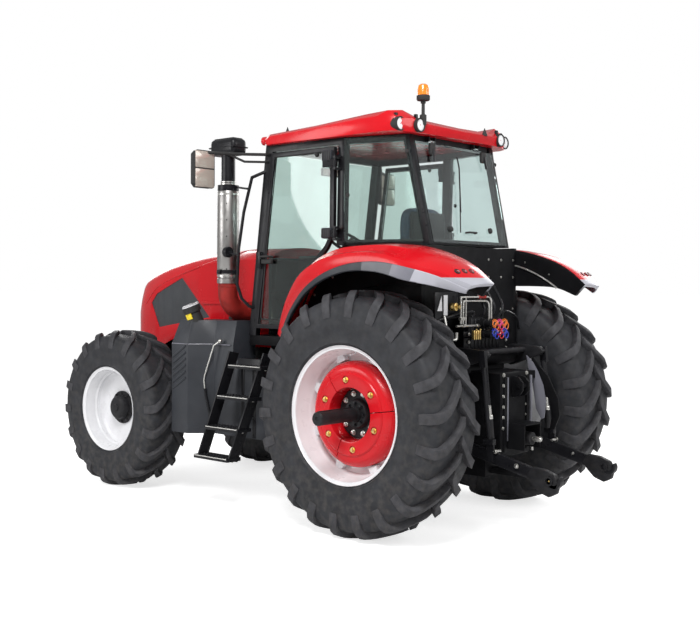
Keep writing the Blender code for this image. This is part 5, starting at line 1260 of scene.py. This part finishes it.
class TRACTOR_OT_mirror_glass(bpy.types.Operator):
    """Make the two panes and the rim of each mirror"""
    bl_idname = "tractor.mirror_glass"
    bl_label = "Mirror glass"

    def execute(self, context):
        made, add = batch()
        # the two panes: a beige grey painted reflection of the surroundings
        for low, high in ((2.64, 2.788), (2.797, 2.933)):
            add(block((1.0795, 1.2805), (-1.537, -1.5315), (low, high), 0.002), "mirror_face")
        rim = [(1.077, -1.536, 2.637), (1.283, -1.536, 2.637), (1.283, -1.536, 2.936), (1.077, -1.536, 2.936)]
        add(seal(rim, 0.0045), "black_plastic")
        add(pipe([(1.08, -1.533, 2.793), (1.28, -1.533, 2.793)], 0.005, 0, 8), "black_plastic")
        settle_pair(made, "mirror_panes", CHASSIS)
        return {"FINISHED"}


class TRACTOR_OT_links(bpy.types.Operator):
    """Make the hooks, ball sockets, pins and threads of the three-point hitch"""
    bl_idname = "tractor.links"
    bl_label = "Hitch links"

    def execute(self, context):
        outline = [(1.06, 0.5), (1.1, 0.565), (1.2, 0.56), (1.285, 0.53), (1.318, 0.47), (1.3, 0.4),
                   (1.24, 0.368), (1.16, 0.395), (1.1, 0.45)]
        eye = (0.401, 1.245, 0.485)
        made, add = batch()
        add(flat([(0.376, y, z) for y, z in outline], (0.05, 0, 0), 0.008), "black_casting")
        add(turned([(-0.036, 0.022), (-0.036, 0.034), (0.036, 0.034), (0.036, 0.022)], "X", eye, 32), "black_casting")
        add(ball(eye, 0.026), "gold_zinc")
        for y, z in ((0.8, 0.645), (0.98, 0.56)):
            add(drum("X", (0.366, y, z), 0.011, 0.07, 20, 0.002), "bright_zinc")
            add(bolt("X", (0.427, y, z), 0.014, 0.012), "bright_zinc")
        settle_pair(made, "link_end", bodies_of("lower_link"))
        made, add = batch()
        top, foot = Vector((0.4, 0.686, 1.3)), Vector((0.4, 0.756, 0.64))
        add(pipe([top.lerp(foot, 0.62), top.lerp(foot, 0.86)], 0.0235, 0, 24), "black_casting")
        for k in range(14):
            thread = hoop("Z", (0, 0, 0), 0.0175, 0.0022, 24, 6)
            add(aimed(thread, top.lerp(foot, 0.5 + 0.0085 * k), top - foot), "bright_zinc")
        add(pipe([top.lerp(foot, 0.06), top.lerp(foot, 0.5)], 0.015, 0, 20), "black_enamel")
        nut = drum("Z", (0, 0, -0.015), 0.028, 0.03, 6, 0.003)
        add(aimed(nut, top.lerp(foot, 0.625), top - foot), "bright_zinc")
        settle_pair(made, "rod_thread", bodies_of("lift_rod"))
        return {"FINISHED"}


class TRACTOR_OT_belly(bpy.types.Operator):
    """Make the steering cylinders, axle bolts, propeller shaft and the underside pipes"""
    bl_idname = "tractor.belly"
    bl_label = "Axle and belly"

    def execute(self, context):
        made, add = batch()
        axle = FRONT_AXLE
        for x in (0.12, 0.2, 0.28, 0.36):
            for z in (-0.06, 0.06):
                add(bolt("Y", (x, axle.y + 0.098, axle.z + z), 0.01, 0.01), "bright_zinc")
        add(pipe([(0.1, axle.y + 0.135, axle.z), (0.36, axle.y + 0.135, axle.z)], 0.034, 0, 24), "black_enamel")
        add(pipe([(0.36, axle.y + 0.135, axle.z), (0.46, axle.y + 0.13, axle.z)], 0.016, 0, 16), "bright_zinc")
        settle_pair(made, "axle_bolts", CHASSIS)
        made, add = batch()
        add(pipe([(0.0, axle.y + 0.15, axle.z - 0.01), (0.0, -1.25, 0.62)], 0.042, 0, 24), "black_enamel")
        for side in (-1, 1):
            for z in (0.74, 0.78):
                add(pipe([(side * 0.255, -2.3, z), (side * 0.262, -1.7, z), (side * 0.262, -1.25, z + 0.03)], 0.007,
                         0.02, 10), "bright_zinc")
        settle(made, "belly_shaft", "chassis")
        return {"FINISHED"}


# ---- exhaust

STACK = Vector((0.72, -1.76, 0.0))


def stack_band(low, height, inner, outer):
    """A band round the stack."""
    return turned([(low, inner), (low, outer), (low + height, outer), (low + height, inner)], "Z", STACK, 40)


def stack_block(half_x, half_y, z, soften, segments=2):
    """A rounded block centred on the stack."""
    return block((STACK.x - half_x, STACK.x + half_x), (STACK.y - half_y, STACK.y + half_y), z, soften, segments)


class TRACTOR_OT_exhaust(bpy.types.Operator):
    """Make the exhaust stack: rusty elbow, shielded pipe, clamps and black head"""
    bl_idname = "tractor.exhaust"
    bl_label = "Exhaust"

    def execute(self, context):
        made, add = batch()
        add(pipe([(0.4153, STACK.y, 1.615), (0.6, STACK.y, 1.615), (STACK.x, STACK.y, 1.7),
                  (STACK.x, STACK.y, 1.862)], 0.083, 0.075, 28), "rust_red")
        add(hoop("Z", (STACK.x, STACK.y, 1.832), 0.082, 0.006), "rust_red")
        add(hoop("X", (0.438, STACK.y, 1.615), 0.08, 0.01), "rust_red")
        add(turned([(1.858, 0.08), (1.858, 0.093), (1.9, 0.094), (1.905, 0.088), (1.93, 0.086), (1.93, 0.08)],
                   "Z", STACK, 40), "steel_shield")
        add(turned([(1.925, 0.078), (1.925, 0.09), (1.932, 0.0935), (2.64, 0.0935), (2.65, 0.09),
                    (2.65, 0.078)], "Z", STACK, 48), "steel_shield")
        add(stack_band(1.94, 0.032, 0.093, 0.0975), "black_enamel")
        add(block((0.805, 0.835), (-1.768, -1.74), (1.936, 1.976), 0.004), "black_enamel")
        add(stack_band(2.655, 0.045, 0.062, 0.092), "black_enamel")
        for z in (1.915, 2.615):
            add(stack_band(z, 0.014, 0.0925, 0.0945), "bright_zinc")
        for z in (2.705, 2.722):
            add(stack_band(z, 0.01, 0.06, 0.068), "bright_zinc")
        add(pipe([STACK + Vector((-0.02, 0.07, 2.678)), STACK + Vector((0.02, 0.14, 2.675)),
                  STACK + Vector((0.085, 0.353, 2.645))], 0.009, 0.02), "black_enamel")
        add(turned([(-0.036, 0), (-0.034, 0.022), (-0.012, 0.043), (0.026, 0.047), (0.032, 0.044), (0.032, 0)], "Y",
                   (0.842, -1.64, 2.122), 32), "black_enamel")
        add(pipe([(0.842, -1.612, 2.118), (0.841, -1.56, 2.105), (0.838, -1.5, 2.1)], 0.009, 0.015),
            "black_enamel")
        add(turned([(2.64, 0), (2.64, 0.06), (2.96, 0.06), (2.96, 0)], "Z", STACK, 36), "black_enamel")
        add(stack_block(0.085, 0.155, (2.95, 3.098), 0.045, 5), "black_enamel")
        add(rounded(stack_block(0.088, 0.158, (3.014, 3.026), 0.005), 0.04, 4), "black_enamel")
        add(stack_block(0.055, 0.12, (3.09, 3.1015), 0.008), "black_enamel")
        for z in (1.98, 2.12, 2.26, 2.4, 2.54):
            add(around(drum("X", STACK + Vector((0.0925, 0, z)), 0.006, 0.0022, 12), "Z", STACK, 4, 40),
                "black_casting")
        settle(made, "exhaust_stack", "chassis", stands_for=("exhaust",))
        return {"FINISHED"}


# ---- tank and toolbox trim, steps

class TRACTOR_OT_tank_trim(bpy.types.Operator):
    """Make the filler neck and cap, ribs, a painted highlight on the crease and the rod handle of the side tanks"""
    bl_idname = "tractor.tank_trim"
    bl_label = "Tank trim"

    def execute(self, context):
        lean = Matrix.Rotation(math.radians(18), 4, "Y") @ Matrix.Rotation(math.radians(12), 4, "X")
        stand = Matrix.Translation((0.845, -1.99, 1.47)) @ lean
        neck = turned([(0.0, 0), (0.0, 0.067), (0.145, 0.061), (0.15, 0.0765), (0.158, 0.0765), (0.16, 0)], "Z",
                      (0, 0, 0), 40)
        cap = turned([(0.158, 0), (0.158, 0.0772), (0.2, 0.0772), (0.21, 0.07), (0.2165, 0.04), (0.2165, 0)], "Z",
                     (0, 0, 0), 40)
        grips = around(block((0.0755, 0.0785), (-0.006, 0.006), (0.164, 0.202), 0.002), "Z", (0, 0, 0), 14)
        crown = turned([(0.208, 0.048), (0.2195, 0.052), (0.22, 0.068), (0.21, 0.0765), (0.203, 0.0765)], "Z",
                       (0, 0, 0), 40)
        bar = block((-0.06, 0.06), (-0.013, 0.013), (0.212, 0.2205), 0.004)
        label = block((-0.032, 0.032), (-0.068, -0.058), (0.098, 0.15), 0.003)
        label.data.transform(turn_about("Z", (0, 0, 0), 97))
        made, add = batch()
        for parts, finish in (([neck, cap], "black_plastic"), (crown, "white_enamel"), (bar, "black_plastic"),
                              (label, "yellow_label"), (grips, "black_plastic")):
            add(parts, finish)
        for part in made:
            part.data.transform(stand)
        settle(made, "filler", "chassis")
        made, add = batch()
        for step in range(6):
            z = 1.268 - 0.055 * step
            add(pipe([(0.998, -2.15, z - 0.045), (0.998, -1.985, z + 0.055)], 0.012, 0, 12), "slate_plastic")
        # thin grey strips along the crease and edges of the tank: a painted highlight
        for run in ([(0.853, -1.805, 1.336), (0.853, -1.585, 1.336)], [(1.0, -2.165, 1.336), (1.0, -1.962, 1.336)],
                    [(0.998, -1.958, 1.336), (0.845, -1.806, 1.336)]):
            add(pipe(run, 0.0045, 0, 8), "grey_moulding")
        for y in (-1.3, -1.44):
            add(block((0.838, 0.8435), (y - 0.02, y + 0.02), (0.575, 1.205), 0.002), "black_enamel")
        settle_pair(made, "tank_ribs", CHASSIS)
        made, add = batch()
        add(pipe([(0.872, -1.69, 1.367), (0.886, -1.75, 1.33), (0.916, -1.845, 1.044), (0.908, -1.838, 0.95)],
                 0.008, 0.03, 12), "bright_zinc")
        add(ball((0.87, -1.69, 1.367), 0.019), "bright_zinc")
        add(pipe([(0.908, -1.838, 0.958), (0.904, -1.83, 0.9), (0.88, -1.77, 0.64)], 0.012, 0.02, 12),
            "black_enamel")
        settle_pair(made, "rod_handle", CHASSIS)
        return {"FINISHED"}


# outer face, front end, rear end and top of each tread
STEP_PLACES = [(1.0, -1.45, -1.06, 1.19), (1.05, -1.53, -1.15, 0.935), (1.1, -1.62, -1.22, 0.68),
               (1.15, -1.7, -1.29, 0.44)]


class TRACTOR_OT_step_treads(bpy.types.Operator):
    """Make the raised grip studs and edge strips on the steps"""
    bl_idname = "tractor.step_treads"
    bl_label = "Step treads"

    def execute(self, context):
        made, add = batch()
        for x, front, rear, top in STEP_PLACES:
            for row in range(4):
                for place in range(10):
                    y = front + 0.03 + (rear - front - 0.06) * place / 9
                    stud = turned([(0, 0.0085), (0.0018, 0.008), (0.004, 0.0055), (0.0035, 0.004), (0, 0.0035)], "Z",
                                  (x - 0.024 - 0.034 * row, y, top - 0.0005), 10)
                    add(stud, "black_enamel")
            add(pipe([(x - 0.002, front + 0.01, top - 0.006), (x - 0.002, rear - 0.01, top - 0.006)], 0.005, 0, 8),
                "bright_zinc")
            for y in (front + 0.02, rear - 0.02):
                add(bolt("Z", (x - 0.075, y, top - 0.031), 0.009, 0.008, -1), "bright_zinc")
        settle_pair(made, "step_treads", CHASSIS)
        return {"FINISHED"}


# ---- floor, lights and camera

CAMERA_PLACE = Vector((6.8977, 5.0727, 1.8482))
CAMERA_YAW = 48.69
CAMERA_PITCH = 1.26
CAMERA_ROLL = 0.31
CAMERA_PIXELS = 1060.4  # focal length in pixels of the picture
PICTURE_WIDTH = 700
SENSOR_WIDTH = 36
FLOOR_SIZE = 400
FLOOR_GLOW = 0.7  # white added for the camera alone
SKY_LIGHT = 0.42  # strength of the white sky as a light; the camera sees it at full strength


def seen_rays(tree):
    """One for rays from the camera, straight or through glass, and nought for all others."""
    light = new_node(tree, "LightPath", {}).outputs
    rays = {0: light["Is Camera Ray"], 1: light["Is Transmission Ray"]}
    return new_node(tree, "Math", rays, operation="MAXIMUM").outputs["Value"]


def shown_white(tree, shader, strength):
    """Add the camera's own white to a surface, so that the floor reads white and keeps its shadow."""
    plain = shader.outputs["BSDF"]
    glow = new_node(tree, "Emission", {"Strength": strength}).outputs["Emission"]
    both = new_node(tree, "AddShader", {0: plain, 1: glow}).outputs["Shader"]
    pick = new_node(tree, "MixShader", {"Fac": seen_rays(tree), 1: plain, 2: both})
    fill(tree, tree.nodes["Material Output"], {"Surface": pick.outputs["Shader"]})


class TRACTOR_OT_stage(bpy.types.Operator):
    """Set the pale floor, the soft lights and the camera"""
    bl_idname = "tractor.stage"
    bl_label = "Stage"

    def execute(self, context):
        scene = context.scene
        put_down()
        bpy.ops.mesh.primitive_plane_add(size=FLOOR_SIZE, location=(0, 0, -0.002))
        floor = bpy.context.object
        floor.name = "floor"
        pale, tree, shader = blank_material("pale_floor")
        level = scene.tractor_paint.floor
        fill(tree, shader, {"Base Color": (level, level, level, 1.0), "Roughness": 1.0, "Specular IOR Level": 0.0})
        shown_white(tree, shader, FLOOR_GLOW)
        floor.data.materials.append(pale)
        world = bpy.data.worlds.new("studio")
        world.use_nodes = True
        scene.world = world
        tree = world.node_tree
        strength = new_node(tree, "MapRange", {"To Min": SKY_LIGHT, "To Max": 1.0, "Value": seen_rays(tree)})
        fill(tree, tree.nodes["Background"], {"Color": (1.0, 1.0, 1.0, 1.0), "Strength": strength.outputs["Result"]})
        for name, place, aim, size, power in LAMPS:
            bpy.ops.object.light_add(type="AREA", location=place)
            lamp = bpy.context.object
            lamp.name = name
            lamp.data.shape = "DISK"
            lamp.data.size = size
            lamp.data.energy = power
            lamp.rotation_mode = "QUATERNION"
            lamp.rotation_quaternion = (Vector(aim) - Vector(place)).to_track_quat("-Z", "Y")
        bpy.ops.object.camera_add(location=CAMERA_PLACE + Vector((0, AXLE_Y, 0)))
        camera = bpy.context.object
        camera.name = "camera"
        camera.rotation_mode = "XYZ"
        yaw, pitch, roll = (math.radians(value) for value in (CAMERA_YAW, CAMERA_PITCH, CAMERA_ROLL))
        ahead = Vector((-math.sin(yaw) * math.cos(pitch), -math.cos(yaw) * math.cos(pitch), -math.sin(pitch)))
        side = Vector((-math.cos(yaw), math.sin(yaw), 0))
        over = side.cross(ahead)
        right = math.cos(roll) * side + math.sin(roll) * over
        up = -math.sin(roll) * side + math.cos(roll) * over
        turn = Matrix((right, up, -ahead)).transposed()
        camera.rotation_euler = turn.to_euler("XYZ")
        camera.data.sensor_width = SENSOR_WIDTH
        camera.data.lens = CAMERA_PIXELS * SENSOR_WIDTH / PICTURE_WIDTH
        camera.data.clip_end = 500
        scene.camera = camera
        scene.view_settings.view_transform = "Standard"
        put_down()
        return {"FINISHED"}


LAMPS = [
    ("key", (5.5, 4.0, 7.0), (0, 0.5, 1.2), 3.0, 500),
    ("side", (7.0, -3.5, 3.5), (0, -0.5, 1.0), 3.5, 160),
    ("rear", (-2.0, 7.5, 4.5), (0, 1.5, 1.2), 3.5, 160),
    ("front", (-3.0, -7.5, 4.5), (0, -1.5, 1.2), 4.0, 160),
    ("right", (-7.0, 0.5, 4.0), (0, 0.0, 1.2), 4.0, 160),
]

STEPS = ["finishes", "softened", "tyres", "rims", "hubs", "wheel_weights", "hood", "fenders", "hydraulics",
         "cab_trim", "interior", "mirror_glass", "links", "belly", "exhaust", "tank_trim", "step_treads", "stage"]


class TRACTOR_PT_panel(bpy.types.Panel):
    """Lists the steps that dress the tractor"""
    bl_label = "Tractor"
    bl_idname = "TRACTOR_PT_panel"
    bl_space_type = "VIEW_3D"
    bl_region_type = "UI"
    bl_category = "Tractor"

    def draw(self, context):
        for group in (context.scene.tractor_paint, context.scene.tractor_wheels):
            for name in group.__annotations__:
                self.layout.prop(group, name)
        for step in STEPS:
            self.layout.operator("tractor." + step)


CLASSES = [TractorPaint, TractorWheels, TRACTOR_OT_finishes, TRACTOR_OT_tyres, TRACTOR_OT_rims, TRACTOR_OT_hubs,
           TRACTOR_OT_wheel_weights, TRACTOR_OT_softened, TRACTOR_OT_hood, TRACTOR_OT_fenders,
           TRACTOR_OT_hydraulics, TRACTOR_OT_cab_trim, TRACTOR_OT_interior, TRACTOR_OT_mirror_glass,
           TRACTOR_OT_links, TRACTOR_OT_belly, TRACTOR_OT_exhaust, TRACTOR_OT_tank_trim, TRACTOR_OT_step_treads,
           TRACTOR_OT_stage, TRACTOR_PT_panel]


def register():
    for item in CLASSES:
        bpy.utils.register_class(item)
    bpy.types.Scene.tractor_paint = bpy.props.PointerProperty(type=TractorPaint)
    bpy.types.Scene.tractor_wheels = bpy.props.PointerProperty(type=TractorWheels)


def unregister():
    del bpy.types.Scene.tractor_wheels
    del bpy.types.Scene.tractor_paint
    for item in reversed(CLASSES):
        bpy.utils.unregister_class(item)


def main():
    register()
    for step in STEPS:
        getattr(bpy.ops.tractor, step)()


if __name__ == "__main__":
    main()
